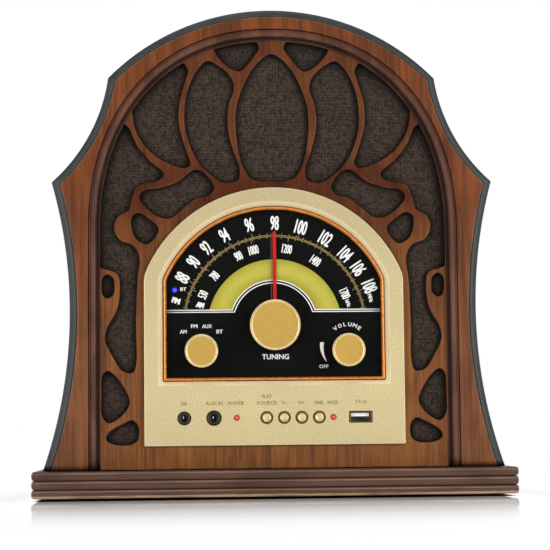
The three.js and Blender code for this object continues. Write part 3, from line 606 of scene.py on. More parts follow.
def disc(x, z, radius, steps=32):
    return chords((x, z), radius, 0, 2 * math.pi * (1 - 1 / steps), steps - 1)


def rounded_rectangle(x, z, width, height, corner, steps=6):
    points = []
    for quarter, (sx, sz) in enumerate(((1, 1), (-1, 1), (-1, -1), (1, -1))):
        centre = (x + sx * (width / 2 - corner), z + sz * (height / 2 - corner))
        start = quarter * math.pi / 2
        points += chords(centre, corner, start, start + math.pi / 2, steps)
    return points


def window(half_width, bottom, radius, shoulder, steps=64, foot=0.6):
    """A round-topped window about the tuning shaft, its lower corners slightly rounded."""
    cx = half_width - shoulder
    cz = AXIS_Z + math.sqrt((radius - shoulder) ** 2 - cx ** 2)
    turn = math.atan2(cz - AXIS_Z, cx)
    points = chords((-half_width + foot, bottom + foot), foot, math.pi, 1.5 * math.pi, 3)
    points += chords((half_width - foot, bottom + foot), foot, -math.pi / 2, 0, 3)
    points += chords((cx, cz), shoulder, 0, turn, 10)
    points += chords((0, AXIS_Z), radius, turn, math.pi - turn, steps)[1:-1]
    points += chords((-cx, cz), shoulder, math.pi - turn, math.pi, 10)
    return points


def window_path(half_width, bottom, radius, shoulder, *rest):
    """A window's outline, as a function of how far out it is moved."""
    return lambda out: window(
        half_width + out, bottom - out, radius + out, shoulder + out, *rest)


def arch_point(x, z, out):
    """The point of the arch, moved outwards by out, that lies over against a point outside it."""
    half_width, rise, power = ARCH["half_width"] + out, ARCH["rise"] + out, ARCH["exponent"]
    if z <= ARCH["spring"]:
        return (math.copysign(half_width, x), z)
    angle = math.atan2(z - ARCH["spring"], x)
    c, s = abs(math.cos(angle)) / half_width, abs(math.sin(angle)) / rise
    reach = (c ** power + s ** power) ** (-1 / power)
    return (reach * math.cos(angle), ARCH["spring"] + reach * math.sin(angle))


def arch_path(out, bottom=FOOT_Z, side=24, curve=120):
    """The arch from its right foot over the top to its left foot."""
    up = [(1, bottom + (ARCH["spring"] - bottom) * i / side) for i in range(side)]
    over = [
        (math.cos(math.pi * i / curve), ARCH["spring"] + math.sin(math.pi * i / curve))
        for i in range(curve + 1)
    ]
    down = [(-x, z) for x, z in reversed(up)]
    points = [arch_point(x, z, out) for x, z in up]
    points += [arch_point(x, z + 1e-9, out) for x, z in over]
    return points + [arch_point(x, z, out) for x, z in down]


def circle_through(a, b, c):
    d = 2 * (a[0] * (b[1] - c[1]) + b[0] * (c[1] - a[1]) + c[0] * (a[1] - b[1]))
    squares = [p[0] ** 2 + p[1] ** 2 for p in (a, b, c)]
    x = (squares[0] * (b[1] - c[1]) + squares[1] * (c[1] - a[1]) + squares[2] * (a[1] - b[1])) / d
    z = (squares[0] * (c[0] - b[0]) + squares[1] * (a[0] - c[0]) + squares[2] * (b[0] - a[0])) / d
    return (x, z), math.dist(a, (x, z))


def meeting(first, second, near):
    """Where two circles cross, on the side of a point."""
    (c0, r0), (c1, r1) = first, second
    gap = math.dist(c0, c1)
    along = (r0 ** 2 - r1 ** 2 + gap ** 2) / (2 * gap)
    off = math.sqrt(max(0, r0 ** 2 - along ** 2))
    ux, uz = (c1[0] - c0[0]) / gap, (c1[1] - c0[1]) / gap
    both = [
        (c0[0] + along * ux - side * off * uz, c0[1] + along * uz + side * off * ux)
        for side in (-1, 1)
    ]
    return min(both, key=lambda p: math.dist(p, near))


def cathedral(inset, counts=(44, 26, 60)):
    """The outline moved inwards, from the right foot over the crown to the left foot, mitred."""
    p = FRAME_POINTS
    crown_left = (-p["shoulder"][0], p["shoulder"][1])
    (waist, r_waist) = circle_through(p["foot"], p["waist"], p["horn"])
    (flank, r_flank) = circle_through(p["horn"], p["flank"], p["shoulder"])
    (crown, r_crown) = circle_through(p["shoulder"], p["crown"], crown_left)
    rings = [(waist, r_waist + inset), (flank, r_flank + inset), (crown, r_crown - inset)]
    reach = math.sqrt(rings[0][1] ** 2 - (FOOT_Z - waist[1]) ** 2)
    start = (waist[0] - reach, FOOT_Z)
    horn = meeting(rings[0], rings[1], p["horn"])
    shoulder = meeting(rings[1], rings[2], p["shoulder"])
    top = (0, crown[1] + rings[2][1])
    half = []
    ends = (start, horn, shoulder, top)
    for (centre, radius), a, b, count in zip(rings, ends, ends[1:], counts):
        from_angle = math.atan2(a[1] - centre[1], a[0] - centre[0])
        to_angle = math.atan2(b[1] - centre[1], b[0] - centre[0])
        sweep = (to_angle - from_angle + math.pi) % (2 * math.pi) - math.pi
        half += chords(centre, radius, from_angle, from_angle + sweep, count)[:-1]
    return half + [top] + [(-x, z) for x, z in reversed(half)]


def blend(a, b, from_u, to_u, u):
    """The point at u on the line through a at from_u and b at to_u."""
    return tuple(((to_u - u) * m + (u - from_u) * n) / (to_u - from_u) for m, n in zip(a, b))


def smooth_hole(points, side=1, steps=6):
    """The closed centripetal Catmull-Rom curve through the points, as the CAD draws it."""
    ps = [(side * x, z) for x, z in points]
    count, made = len(ps), []
    for i in range(count):
        p0, p1, p2, p3 = (ps[(i + k) % count] for k in (-1, 0, 1, 2))
        t = [0]
        for a, b in ((p0, p1), (p1, p2), (p2, p3)):
            t.append(t[-1] + math.sqrt(math.dist(a, b)))
        for k in range(steps):
            u = t[1] + (t[2] - t[1]) * k / steps
            a1, a2, a3 = (blend(a, b, t[m], t[m + 1], u) for m, (a, b) in
                          enumerate(((p0, p1), (p1, p2), (p2, p3))))
            b1, b2 = blend(a1, a2, t[0], t[2], u), blend(a2, a3, t[1], t[3], u)
            made.append(blend(b1, b2, t[1], t[2], u))
    return made


def inside_arch(points, out):
    """The points, with those that lie beyond the arch brought back onto it."""
    kept = []
    for x, z in points:
        limit = arch_point(x, z, out)
        beyond = abs(x) > abs(limit[0]) if z <= ARCH["spring"] else (
            math.dist((x, z), (0, ARCH["spring"])) > math.dist(limit, (0, ARCH["spring"]))
        )
        kept.append(limit if beyond else (x, z))
    return kept


def rails_of(path_of, profile):
    """One rail for each profile point (inset or outset, depth)."""
    return [[at(x, z, depth) for x, z in path_of(out)] for out, depth in profile]


# ---------------------------------------------------------------- plinth
def reed_profile():
    """Inset and height round three reeds, from the underside to the top."""
    reed, points = PLINTH["height"] / 3, []
    for row in range(3):
        bottom = row * reed
        for k in range(9):
            angle = math.pi * (k / 8 - 0.5)
            bulge = abs(math.cos(angle)) ** 0.55
            points.append((2.1 * (1 - bulge), bottom + reed / 2 + (reed / 2) * math.sin(angle)))
        if row < 2:
            points.pop()
    return points


def plinth():
    top = PLINTH["height"]
    rails = []
    for inset, height in [(8, 0.4), (3, 0.0)] + reed_profile() + [(3.2, top), (12, top)]:
        outline = rounded_rectangle(
            0, 0, 2 * (PLINTH["half_width"] - inset), 2 * (PLINTH["half_depth"] - inset),
            max(1.2, PLINTH["corner"] - inset), 8)
        rails.append([Vector((x * MM, y * MM, BASE_Z + height * MM)) for x, y in outline])
    bm = loft(rails, closed_rail=True, closed_profile=False)
    # dark: the grooves, the underside and the top, in dark wood as painted shade
    dark, edge_highlight, crest_highlights = (0, 1, 9, 10, 17, 18, 26, 27), (2, 3, 4), (7, 15, 23)
    # edge_highlight rows, the lowest reed's bottom edge, are paler as if lit from the floor:
    # painted highlight
    for index, rows in enumerate((dark, edge_highlight, crest_highlights), 1):
        tint_rows(bm, len(rails[0]), rows, index)
    # the top face, under the cabinet, in dark wood: painted shade
    bm.faces[-1].material_index = 1
    # crest_highlights rows, the paler line at each reed's upper edge: painted highlight
    woods = [PLINTH_WOOD, SHADE_WOOD, FLOOR_LIT_EDGE, CREST_HIGHLIGHT]
    piece("plinth_body", "cabinet", woods, bm, ["plinth"])


# ---------------------------------------------------------------- cabinet woodwork
def front_frame():
    """The veneered board with its bare edge, and the black rounded edge round it."""
    outline = cathedral(EDGE)
    count = len(outline) - 1

    def arch(out):
        return [arch_point(x, z, out) for x, z in outline]

    bm = loft([
        [at(x, z, depth) for x, z in line] for line, depth in (
            (outline, STEP + 1), (outline, STEP), (cathedral(EDGE + 0.5), 0.0), (arch(0.6), 0.0),
            (arch(0.2), 0.15), (arch(0.0), 0.6), (arch(0.0), BOARD), (outline, BOARD))
    ])
    tint_rows(bm, count, [1], 1)
    piece("front_board", "cabinet", [WALNUT, RAW_EDGE], bm, ["front_frame"])
    profile = [(EDGE, STEP + 1.4), (EDGE - 0.1, STEP + 0.6), (EDGE - 0.45, STEP)]
    reach = EDGE - 0.7 + RIM_OUT
    for k in range(11):
        angle = math.pi / 2 * k / 10
        profile.append(
            (reach * (1 - math.sin(angle)) - RIM_OUT, STEP + reach * (1 - math.cos(angle))))
    profile += [(-RIM_OUT, BOARD - 1), (0.3, BOARD - 0.2), (1, BOARD), (EDGE, BOARD)]
    bm = loft(rails_of(cathedral, profile))
    # the outer half of the rounded edge and its side take the darker lacquer: painted shade
    tint_rows(bm, count, range(8, 17), 1)
    piece("front_board_edge", "cabinet", [LACQUER, SHADED_LACQUER], bm,
          ["front_frame"])


def bead_moulding():
    """A low outer fillet, a half-round, and a steep fall to a low inner ledge."""
    fillet, crest, half = -0.4, -3.2, 1.9
    profile = [(fillet, SEAT), (fillet, 1.3), (fillet - 0.15, 1.1), (crest + half + 0.1, 1.0)]
    for k in range(15):
        angle = math.pi * k / 14
        profile.append((crest + half * math.cos(angle), 1.3 - 2.3 * math.sin(angle) ** 0.8))
    cove = [(crest - half - 0.1, 2.4), (-5.35, 3.5), (-5.8, 4.1), (-6.5, 4.2),
            (-BEAD_WIDTH + 0.4, 3.9), (-BEAD_WIDTH, 4.1), (-BEAD_WIDTH, SEAT)]
    bm = loft(rails_of(arch_path, profile + cove))
    in_cove = range(len(profile) - 1, len(profile) + len(cove) - 3)
    # the steep inner fall in dark wood: painted shade
    tint_rows(bm, len(arch_path(0)) - 1, in_cove, 1)
    piece("bead_rail", "cabinet", [BEAD_WOOD, SHADE_WOOD], bm, ["bead_moulding"])


LENS_WINDOW = window(*LENS_OPENING, 40)
CONTROL_SLOT = rounded_rectangle(0, CONTROL_Z, 134, 17, 3)


def grille_holes(out):
    middle = CENTRE_PETAL + [(-x, z) for x, z in reversed(CENTRE_PETAL[1:])]
    loops = [smooth_hole(middle)]
    for points in SIDE_HOLES.values():
        loops += [smooth_hole(points, 1), smooth_hole(points, -1)]
    return [inside_arch(loop, out) for loop in loops]


def fretwork():
    outer = arch_path(-0.3)
    holes = grille_holes(2 - BEAD_WIDTH) + [LENS_WINDOW, CONTROL_SLOT]
    # the holes' cut walls take the dark wood: painted shade
    bm = plate([outer] + holes, FRET_FRONT, FRET_BACK, 0.9, 4, wall=1)
    piece("fretwork", "cabinet", [FRETWOOD, SHADED_WALL], bm, ["fretwork_panel"])


def grille_cloth():
    outer = arch_path(-0.7)
    bm = plate([outer, LENS_WINDOW, CONTROL_SLOT], CLOTH_FRONT, CLOTH_BACK, 0.1, 1)
    made = piece("stretched_cloth", "cabinet", CLOTH, bm, ["grille_cloth"])


def cabinet_shell():
    out, inner, end = SHELL_OUT, SHELL_OUT - SHELL_WALL, BACK
    profile = [(out, BOARD + 0.3), (out, end - 1.6), (out - 0.5, end - 0.5), (out - 1.6, end),
               (inner + 0.6, end), (inner, end - 0.6), (inner, BOARD + 0.3)]
    bm = loft(rails_of(arch_path, profile))
    piece("cabinet_wrap", "cabinet", SHELL_WOOD, bm, ["cabinet_shell"])


def back_panel():
    holes = [rounded_rectangle(*INLET.values(), 2)]
    for row in range(-3, 4):
        offset = row * VENT["pitch"]
        length = 2 * math.sqrt(VENT["radius"] ** 2 - offset ** 2)
        for x in (-VENT["x"], VENT["x"]):
            holes.append(rounded_rectangle(x, VENT["z"] + offset, length, VENT["height"], 1.7, 5))
    holes += [disc(x, z, 1.9, 20) for x, z in BACK_SCREWS]
    panel = arch_path(SHELL_OUT - SHELL_WALL - 0.3)
    bm = plate([panel] + holes, BACK - 1 - PANEL_THICK, BACK - 1, 0.5, 2)
    piece("rear_board", "cabinet", BACK_WOOD, bm, ["back_panel"])


# ---------------------------------------------------------------- escutcheon, bezel and dial
def escutcheon():
    """The grained plate, its bevels round the window and round the outline in a bright cream: a
    painted highlight.
    """
    outer = window(*PLATE_OUTLINE, 90, 0.4)
    holes = [window(*PLATE_WINDOW)]
    holes += [disc(x, CONTROL_Z, radius + 0.3, 40) for x, radius in JACKS.values()]
    holes += [disc(x, CONTROL_Z, BUTTON_BORE, 40) for x in BUTTON_X]
    holes += [disc(x, CONTROL_Z, 1.8, 24) for x in LAMP_X.values()]
    holes.append(rounded_rectangle(USB_X, CONTROL_Z, 14.6, 7.1, 0.5, 3))
    bm = plate([outer] + holes, PLATE_FRONT, SEAT, 0.35, 2)
    slope = [(0.45, 1.72), (0.1, 1.8), (-0.3, 2.1), (-2.6, 4.2), (-3.0, SEAT), (0.4, SEAT),
             (0.4, 2.2)]
    border = [(-0.75, 1.68), (-0.45, 1.66), (-0.1, 1.85), (0.05, 2.2), (0.05, SEAT),
              (-0.75, SEAT)]
    for path_of, profile in ((window_path(*PLATE_WINDOW), slope),
                             (window_path(*PLATE_OUTLINE, 90, 0.9), border)):
        loft(rails_of(path_of, profile), closed_rail=True, bm=bm, index=1)
    piece("escutcheon_plate", "cabinet", [CHAMPAGNE, CREAM_HIGHLIGHT], bm, ["escutcheon"])


def dial_bezel():
    profile = [(0, SEAT), (0, 3.2), (-0.25, 2.8), (-0.7, 2.7), (-1.1, 2.95), (-1.6, 4.1),
               (-1.9, SEAT)]
    bm = loft(rails_of(window_path(*BEZEL_WINDOW), profile), closed_rail=True)
    piece("copper_bezel", "cabinet", COPPER, bm, ["dial_bezel"])


# ---------------------------------------------------------------- printed figures and lines
INK = 0.04  # their thickness
PRINT_FRONT = DIAL_FRONT - INK - 0.01
LABEL_FRONT = PLATE_FRONT - 0.03


def outlines(text):
    """The outlines of a word or number as closed lists of points, in the font's own units."""
    font = bpy.data.curves.new("text", "FONT")
    font.body = text
    holder = bpy.data.objects.new("text", font)
    bpy.context.scene.collection.objects.link(holder)
    curve = holder.to_curve(bpy.context.evaluated_depsgraph_get())
    loops = []
    for spline in curve.splines:
        loop = []
        points = list(spline.bezier_points)
        for a, b in zip(points, points[1:] + points[:1]):
            bent = interpolate_bezier(a.co, a.handle_right, b.handle_left, b.co, 4)[:-1]
            loop += [(p.x, p.y) for p in bent]
        tidy = [p for p, q in zip(loop, loop[1:] + loop[:1]) if math.dist(p, q) > 1e-4]
        loops.append(tidy)
    holder.to_curve_clear()
    bpy.data.objects.remove(holder)
    bpy.data.curves.remove(font)
    return loops


def filled(bm, loops, front, thick):
    """Adds the thin solid inside outlines that may cross themselves."""
    points, faces = triangles(loops)
    sides = {(i, j) for face in faces for i, j in zip(face, face[1:] + face[:1])}
    used = {i for face in faces for i in face}
    near, far = ({i: bm.verts.new(at(points[i].x, points[i].y, depth)) for i in used}
                 for depth in (front, front + thick))
    for face in faces:
        bm.faces.new([near[i] for i in face])
        bm.faces.new([far[i] for i in reversed(face)])
    for i, j in sides:
        if (j, i) not in sides:
            bm.faces.new((near[j], near[i], far[i], far[j]))


def lettering(bm, text, x, z, height, width, degrees, bold, front=PRINT_FRONT):
    """Adds a word or number of a given size, centred on a point and turned clockwise.

    The strokes are thickened by bold: across the word on each side, and up and down.
    """
    loops = outlines(text)
    across, up = bold
    xs = [p[0] for loop in loops for p in loop]
    zs = [p[1] for loop in loops for p in loop]
    sx = (width - 2 * across) / (max(xs) - min(xs))
    sz = (height - 2 * up) / (max(zs) - min(zs))
    mx, mz = (max(xs) + min(xs)) / 2, (max(zs) + min(zs)) / 2
    c, s = math.cos(math.radians(degrees)), math.sin(math.radians(degrees))
    placed = []
    for loop in loops:
        sized = [((u - mx) * sx, (w - mz) * sz) for u, w in loop]
        wanted = -1 if nested(loop, loops) else 1
        if area(sized) * wanted < 0:
            sized.reverse()
        bolder = moved_out(sized, across, up)
        placed.append([(x + u * c + w * s, z - u * s + w * c) for u, w in bolder])
    filled(bm, placed, front, INK)


def strip(bm, inner, outer):
    """Adds the thin printed solid between two open lines of x and height."""
    near, far = PRINT_FRONT, PRINT_FRONT + INK
    rails = [[at(x, z, d) for x, z in line]
             for line, d in ((inner, near), (outer, near), (outer, far), (inner, far))]
    loft(rails, bm=bm)


def tick(bm, a, b, half_width):
    """Adds a short printed line between two points."""
    length = math.dist(a, b)
    nx, nz = -(b[1] - a[1]) / length * half_width, (b[0] - a[0]) / length * half_width
    strip(bm, [(a[0] - nx, a[1] - nz), (b[0] - nx, b[1] - nz)],
          [(a[0] + nx, a[1] + nz), (b[0] + nx, b[1] + nz)])


def polar(radius, degrees, x=0.0, z=AXIS_Z):
    """A point about the tuning shaft, or another, at an angle clockwise from straight up."""
    angle = math.radians(degrees)
    return (x + radius * math.sin(angle), z + radius * math.cos(angle))


def fan(radius, half_angle, steps, x=0.0, z=AXIS_Z):
    """Points along an arc that reaches half_angle degrees to each side of straight up."""
    return [polar(radius, -half_angle + 2 * half_angle * k / steps, x, z) for k in range(steps + 1)]


def bearing(x, z):
    return math.degrees(math.atan2(x, z - AXIS_Z))


# The scale's figures, and the middle of each.
OUTER_FIGURES = {
    "88": (-57.2, 136.4), "90": (-50.3, 146.4), "92": (-42.0, 155.1), "94": (-30.6, 163.0),
    "96": (-14.9, 169.5), "98": (1.2, 170.7), "100": (17.9, 167.9), "102": (33.4, 160.7),
    "104": (45.8, 150.7), "106": (53.9, 141.6), "108": (60.8, 130.2),
}
INNER_FIGURES = {
    "530": (-44.3, 125.6), "700": (-36.9, 137.4), "900": (-21.8, 149.9), "1000": (-12.3, 153.6),
    "1200": (8.8, 154.2), "1400": (26.8, 146.6), "1700": (45.1, 125.7),
}
WORDS = (  # text, centre, height, width, turn, and how much bolder across and up
    ("MHz", 61.3, 122.8, 2.6, 5.2, 73, (0.13, 0.1)),
    ("kHz", 47.1, 119.6, 2.5, 4.6, 68, (0.13, 0.1)),
    ("FM", -61.2, 121.9, 3.6, 5.4, 18, (0.42, 0.3)),
    ("AM", -46.1, 119.1, 3.6, 5.1, 14, (0.38, 0.3)),
    ("BT", -56.6, 129.1, 2.2, 3.9, 0, (0.12, 0.08)),
    ("AM", -56.8, 102.4, 2.4, 4.3, 0, (0.08, 0.06)),
    ("FM", -49.9, 105.8, 2.4, 4.1, 0, (0.08, 0.06)),
    ("AUX", -41.9, 105.7, 2.4, 6.2, 0, (0.08, 0.06)),
    ("BT", -34.0, 102.3, 2.4, 4.0, 0, (0.08, 0.06)),
    ("TUNING", 0.9, 86.3, 3.3, 17, 0, (0.11, 0.08)),
)
VOLUME_ARC = {"x": 46.4, "z": 93.9, "radius": 12.5, "pitch": 15}
VOLUME_WIDTHS = (2.5, 2.3, 1.7, 2.2, 2.7, 1.8)
VOLUME_SWEEP = {  # the tapered mark beside the volume knob
    "outer": [(29.1, 95.2), (28.9, 92.2), (29.2, 90.2), (29.9, 88.0), (31.3, 85.0), (32.9, 83.0)],
    "inner": [(31.6, 95.2), (31.3, 92.4), (31.3, 90.4), (31.5, 88.4), (32.1, 85.8), (33.1, 83.2)],
}
LINE_END = 67.0  # half the length of the double line
LINE_LIFT = 1.75  # the double line's arcs are centred this far above the shaft
OUTER_LINE = {"radius": 26.95, "level": 115.5, "width": 0.65}
INNER_LINE = {"radius": 25.3, "level": 114.2, "width": 0.65}
SHIFT = 0.7  # the scale and the green band are centred this far to the right of the shaft
BAND = {"radius": 42.3, "floor": 116.15}
SCALE = {"radius": 57.2, "floor": 116.6}


def white_print():
    white = bmesh.new()
    for figures, height, widths, bold in (
        (OUTER_FIGURES, 9.1, {2: 5.4, 3: 7.6}, (0.24, 0.1)),
        (INNER_FIGURES, 5.8, {3: 4.8, 4: 6.4}, (0.17, 0.08)),
    ):
        for text, (x, z) in figures.items():
            lettering(white, text, x, z, height, widths[len(text)], bearing(x, z), bold)
    for word in WORDS:
        lettering(white, *word)
    for k, (letter, width) in enumerate(zip("VOLUME", VOLUME_WIDTHS)):
        angle = (k - 2.5) * VOLUME_ARC["pitch"]
        x, z = polar(VOLUME_ARC["radius"], angle, VOLUME_ARC["x"], VOLUME_ARC["z"])
        lettering(white, letter, x, z, 2.5, width, angle, (0.07, 0.05))
    lettering(white, "OFF", 31.3, 80.0, 2.2, 5.8, 0, (0.04, 0.03))
    strip(white, VOLUME_SWEEP["inner"], VOLUME_SWEEP["outer"])
    # the double line: across, over the knob and across
    for line in (OUTER_LINE, INNER_LINE):
        sides = []
        for grown in (0, line["width"]):
            radius, level = line["radius"] + grown, line["level"] + grown
            start = math.degrees(math.acos((level - AXIS_Z - LINE_LIFT) / radius))
            over = fan(radius, start, 60, 0, AXIS_Z + LINE_LIFT)
            sides.append([(-LINE_END, level)] + over + [(LINE_END, level)])
        strip(white, *sides)
    piece("dial_white_print", "cabinet", WHITE_INK, white, weighted=False)


def coloured_print():
    """The scale's double arc with its ticks, the ticks under the figures, and the green band."""
    gold, radius = bmesh.new(), SCALE["radius"]
    limit = math.degrees(math.acos((SCALE["floor"] - AXIS_Z) / radius))
    for inner, outer in ((-0.65, -0.46), (0.32, 0.51)):
        strip(gold, fan(radius + inner, limit, 120, SHIFT), fan(radius + outer, limit, 120, SHIFT))
    pitch = 1.15
    for k in range(-int(limit / pitch), int(limit / pitch) + 1):
        reach = 1.75 if k % 4 == 0 else 0.6
        a = polar(radius - reach, k * pitch, SHIFT)
        b = polar(radius + reach, k * pitch + 0.3, SHIFT)
        tick(gold, a, b, 0.11)
    piece("dial_gold_print", "cabinet", GOLD_INK, gold, weighted=False)

    grey = bmesh.new()
    for figures, low, high in ((OUTER_FIGURES, 0.6, 3.2), (INNER_FIGURES, -3.2, -0.6)):
        for x, z in figures.values():
            a, b = (polar(radius + off, bearing(x - SHIFT, z), SHIFT) for off in (low, high))
            tick(grey, a, b, 0.16)
    piece("dial_figure_ticks", "cabinet", PALE_INK, grey, weighted=False)

    green, lines = bmesh.new(), []
    inside = OUTER_LINE["radius"] + OUTER_LINE["width"]
    for reach, x, z in ((inside, 0, AXIS_Z + LINE_LIFT), (BAND["radius"], SHIFT, AXIS_Z)):
        lines.append(fan(reach, math.degrees(math.acos((BAND["floor"] - z) / reach)), 80, x, z))
    strip(green, *lines)
    piece("dial_green_band", "cabinet", GREEN_INK, green, weighted=False)


def control_labels():
    """Small grey words over the row of controls."""
    bm = bmesh.new()
    words = (
        ("EAR", -56.6, 57.4, 3.8), ("AUX IN", -37.9, 57.3, 10.8), ("POWER", -24.3, 57.3, 10.2),
        ("PLAY", -5.1, 61.4, 6.2), ("SOURCE", -5.3, 57.4, 12.6), ("V-", 5.6, 57.3, 3.7),
        ("V+", 16.3, 57.2, 4.1), ("PAIR", 27.4, 57.3, 5.5), ("MODE", 35.8, 57.3, 6.4),
        ("5 V 1 A", 53.5, 57.6, 6.6),
    )
    for text, x, z, width in words:
        lettering(bm, text, x, z, 2.3, width, 0, (0.1, 0.08), LABEL_FRONT)
    piece("control_labels", "cabinet", GREY_INK, bm, weighted=False)


# ---------------------------------------------------------------- pointer and knobs
def pointer():
    """The red needle, a pale strip beside it as a painted highlight, and their hub."""
    profile = [(3.3, 7.3), (6.2, 7.3), (6.5, 7.6), (6.2, 7.9), (3.3, 7.9)]
    hub = turned(0, AXIS_Z, profile, 48, hollow=True)
    middle, half, tip = 0.75, 1.1, AXIS_Z + 59.5
    needle = [(middle - half, AXIS_Z + 5), (middle + half, AXIS_Z + 5), (middle + half, tip - 0.5),
              (middle + half - 0.5, tip), (middle - half + 0.5, tip), (middle - half, tip - 0.5)]
    plate([needle], 7.3, 7.9, 0.2, 2, bm=hub)
    # a pale strip beside the needle: painted highlight
    left, right = middle - half - 1.1, middle - half - 0.85
    edge = [(left, AXIS_Z + 5), (right, AXIS_Z + 5), (right, tip - 0.5), (left, tip - 0.5)]
    plate([edge], 7.4, 7.8, 0.05, 1, bm=hub, index=1)
    piece("red_pointer", "tuning", [RED, NEEDLE_HIGHLIGHT], hub, ["pointer"])


def knob(body, x, z, radius, front):
    """Flat face, a fine groove inside a bright sloped rim, and a side that tapers to the back."""
    rim, taper, back, segments = 1.2, 0.9, 4.1, 96
    inner, tail = radius - rim, radius - taper
    face = [(0, front + 0.25), (inner - 0.5, front + 0.25), (inner - 0.25, front + 0.12)]
    edge = [(inner - 0.25, front + 0.12), (inner - 0.1, front), (inner, front),
            (radius - 0.15, front + 0.7), (radius, front + 0.95), (radius, front + 1.4)]
    side = [(radius, front + 1.4), (tail, back - 0.6), (tail - 0.5, back), (3.4, back),
            (3.3, back - 0.3), (3.3, front + 4), (0, front + 4)]
    bm = bmesh.new()
    for index, profile in enumerate((face, edge, side)):
        rows = [[bm.verts.new(p) for p in ring(x, z, r, depth, segments if r else 1)]
                for r, depth in profile]
        for first, second in zip(rows, rows[1:]):
            for i in range(segments):
                j = (i + 1) % segments
                loop = [first[i % len(first)], first[j % len(first)], second[j % len(second)],
                        second[i % len(second)]]
                bm.faces.new(list(dict.fromkeys(loop))).material_index = index
    piece(body + "_dial_knob", body, [GOLD, BRIGHT_GOLD, GOLD], bm, [body + "_knob"])


def knobs():
    knob("tuning", 0, AXIS_Z, 15.7, -8.5)
    knob("selector", -SIDE_X, SIDE_Z, 10.3, -7)
    knob("volume", SIDE_X, SIDE_Z, 10.3, -7)


# ---------------------------------------------------------------- row of controls
def buttons():
    """Each cap's dished face, stem and foot, and a dark skirt in its bore: painted shade in the gap
    round the cap.
    """
    r, skirt = BUTTON_RADIUS, BUTTON_BORE - 0.2
    cap = [(0.001, 0.95), (r - 1.6, 0.93), (r - 1.0, 0.84), (r - 0.6, 0.7), (r - 0.3, 0.82),
           (r - 0.08, 1.15), (r, 1.6), (r, 5.0), (4.7, 5.0), (4.7, 6.1), (1.6, 6.1), (1.6, 11.9),
           (0.001, 11.9)]
    sleeve = [(r - 0.1, 2.4), (skirt - 0.1, 2.6), (skirt, 2.8), (skirt, 4.9), (r - 0.1, 4.9)]
    for number, x in enumerate(BUTTON_X, 1):
        bm = turned(x, CONTROL_Z, cap, 48)
        # the skirt: painted shade in the gap round the cap
        turned(x, CONTROL_Z, sleeve, 48, hollow=True, bm=bm, index=1)
        piece(f"button_cap_{number}", f"button_{number}", [PALE_GOLD, DARK_BRASS], bm,
              [f"push_button_{number}"])


def boxed(x, width, height, steps, profile, bm=None):
    """A capped loft of rounded rectangles in the row of controls, from insets and depths."""
    return loft(rails_of(
        lambda inset: rounded_rectangle(
            x, CONTROL_Z, width - 2 * inset, height - 2 * inset, 0.6, steps),
        profile), closed_rail=True, closed_profile=False, bm=bm)


def jack(name, x, radius):
    """A ringed collar with its bore, the block behind it, and a bright spring in the bore."""
    r = radius
    collar = [(1.8, 1.9), (1.95, 1.5), (r - 1.5, 1.3), (r - 1.2, 1.5), (r - 0.8, 1.35),
              (r - 0.55, 1.05), (r - 0.25, 1.0), (r, 1.25), (r, 7.1), (1.8, 7.1)]
    bm = turned(x, CONTROL_Z, collar, 48, hollow=True)
    groove = [(r - 1.15, 1.5), (r - 1.05, 1.3), (r - 0.85, 1.25), (r - 0.75, 1.5)]
    turned(x, CONTROL_Z, groove, 48, hollow=True, bm=bm, index=2)
    block = [(0.4, 7.0), (0, 7.4), (0, 19.6), (0.4, 20)]
    boxed(x, 10, 7, 3, block, bm)
    spring = rounded_rectangle(x - 0.5, CONTROL_Z + 0.5, 0.7, 1.7, 0.3, 3)
    plate([spring], 2.2, 7.9, 0.2, 2, bm=bm, index=1)
    piece(name + "_body", "cabinet", [GLOSS_BLACK, STEEL, DARK_BRASS], bm, [name])


def jacks():
    for name, (x, radius) in JACKS.items():
        jack(name, x, radius)


def lamp(name, x, z, front, glow, slot):
    """A lamp with a domed end, a straight barrel and a collar at the back."""
    radius, dome_deep, collar = 1.5, 1.2, 1.9
    profile = [(0.001, front)]
    for k in range(1, 7):
        angle = math.pi / 2 * k / 6
        profile.append((radius * math.sin(angle), front + dome_deep * (1 - math.cos(angle))))
    profile += [(radius, front + 4.4), (collar, front + 4.6), (collar, front + 5.4),
                (0.001, front + 5.4)]
    piece(name + "_dome", "cabinet", glow, turned(x, z, profile, 32), [name])


def lamps():
    for name, x in LAMP_X.items():
        lamp(name, x, CONTROL_Z, 0.6, RED_GLOW, "red_lamp")
    lamp("wireless_lamp", *DIAL_LAMP.values(), BLUE_GLOW, "blue_lamp")


def usb_port():
    """The shell, and the tongue, whose top is seen through the port and is drawn thicker."""
    shell = [(0.0, 16), (0.0, 1.6), (0.15, 1.4), (0.5, 1.4), (0.62, 1.7), (0.62, 14.6)]
    bm = boxed(USB_X, 13.8, 6.3, 4, shell)
    piece("usb_shell", "cabinet", DARK_STEEL, bm, ["usb_socket"])
    low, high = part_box("usb_tongue")
    top = at(0, CONTROL_Z + 2.4, 0).z
    rails = []
    for inset, y in ((0.2 * MM, low.y), (0, low.y + 0.3 * MM), (0, high.y)):
        left, right, bottom, upper = low.x + inset, high.x - inset, low.z + inset, top - inset
        rails.append([Vector((x, y, z)) for x, z in
                      ((left, bottom), (right, bottom), (right, upper), (left, upper))])
    bm = loft(rails, closed_rail=True, closed_profile=False)
    # the tongue glows faintly: painted light
    piece("usb_contact_tongue", "cabinet", GLOWING_PLASTIC, bm, ["usb_tongue"])


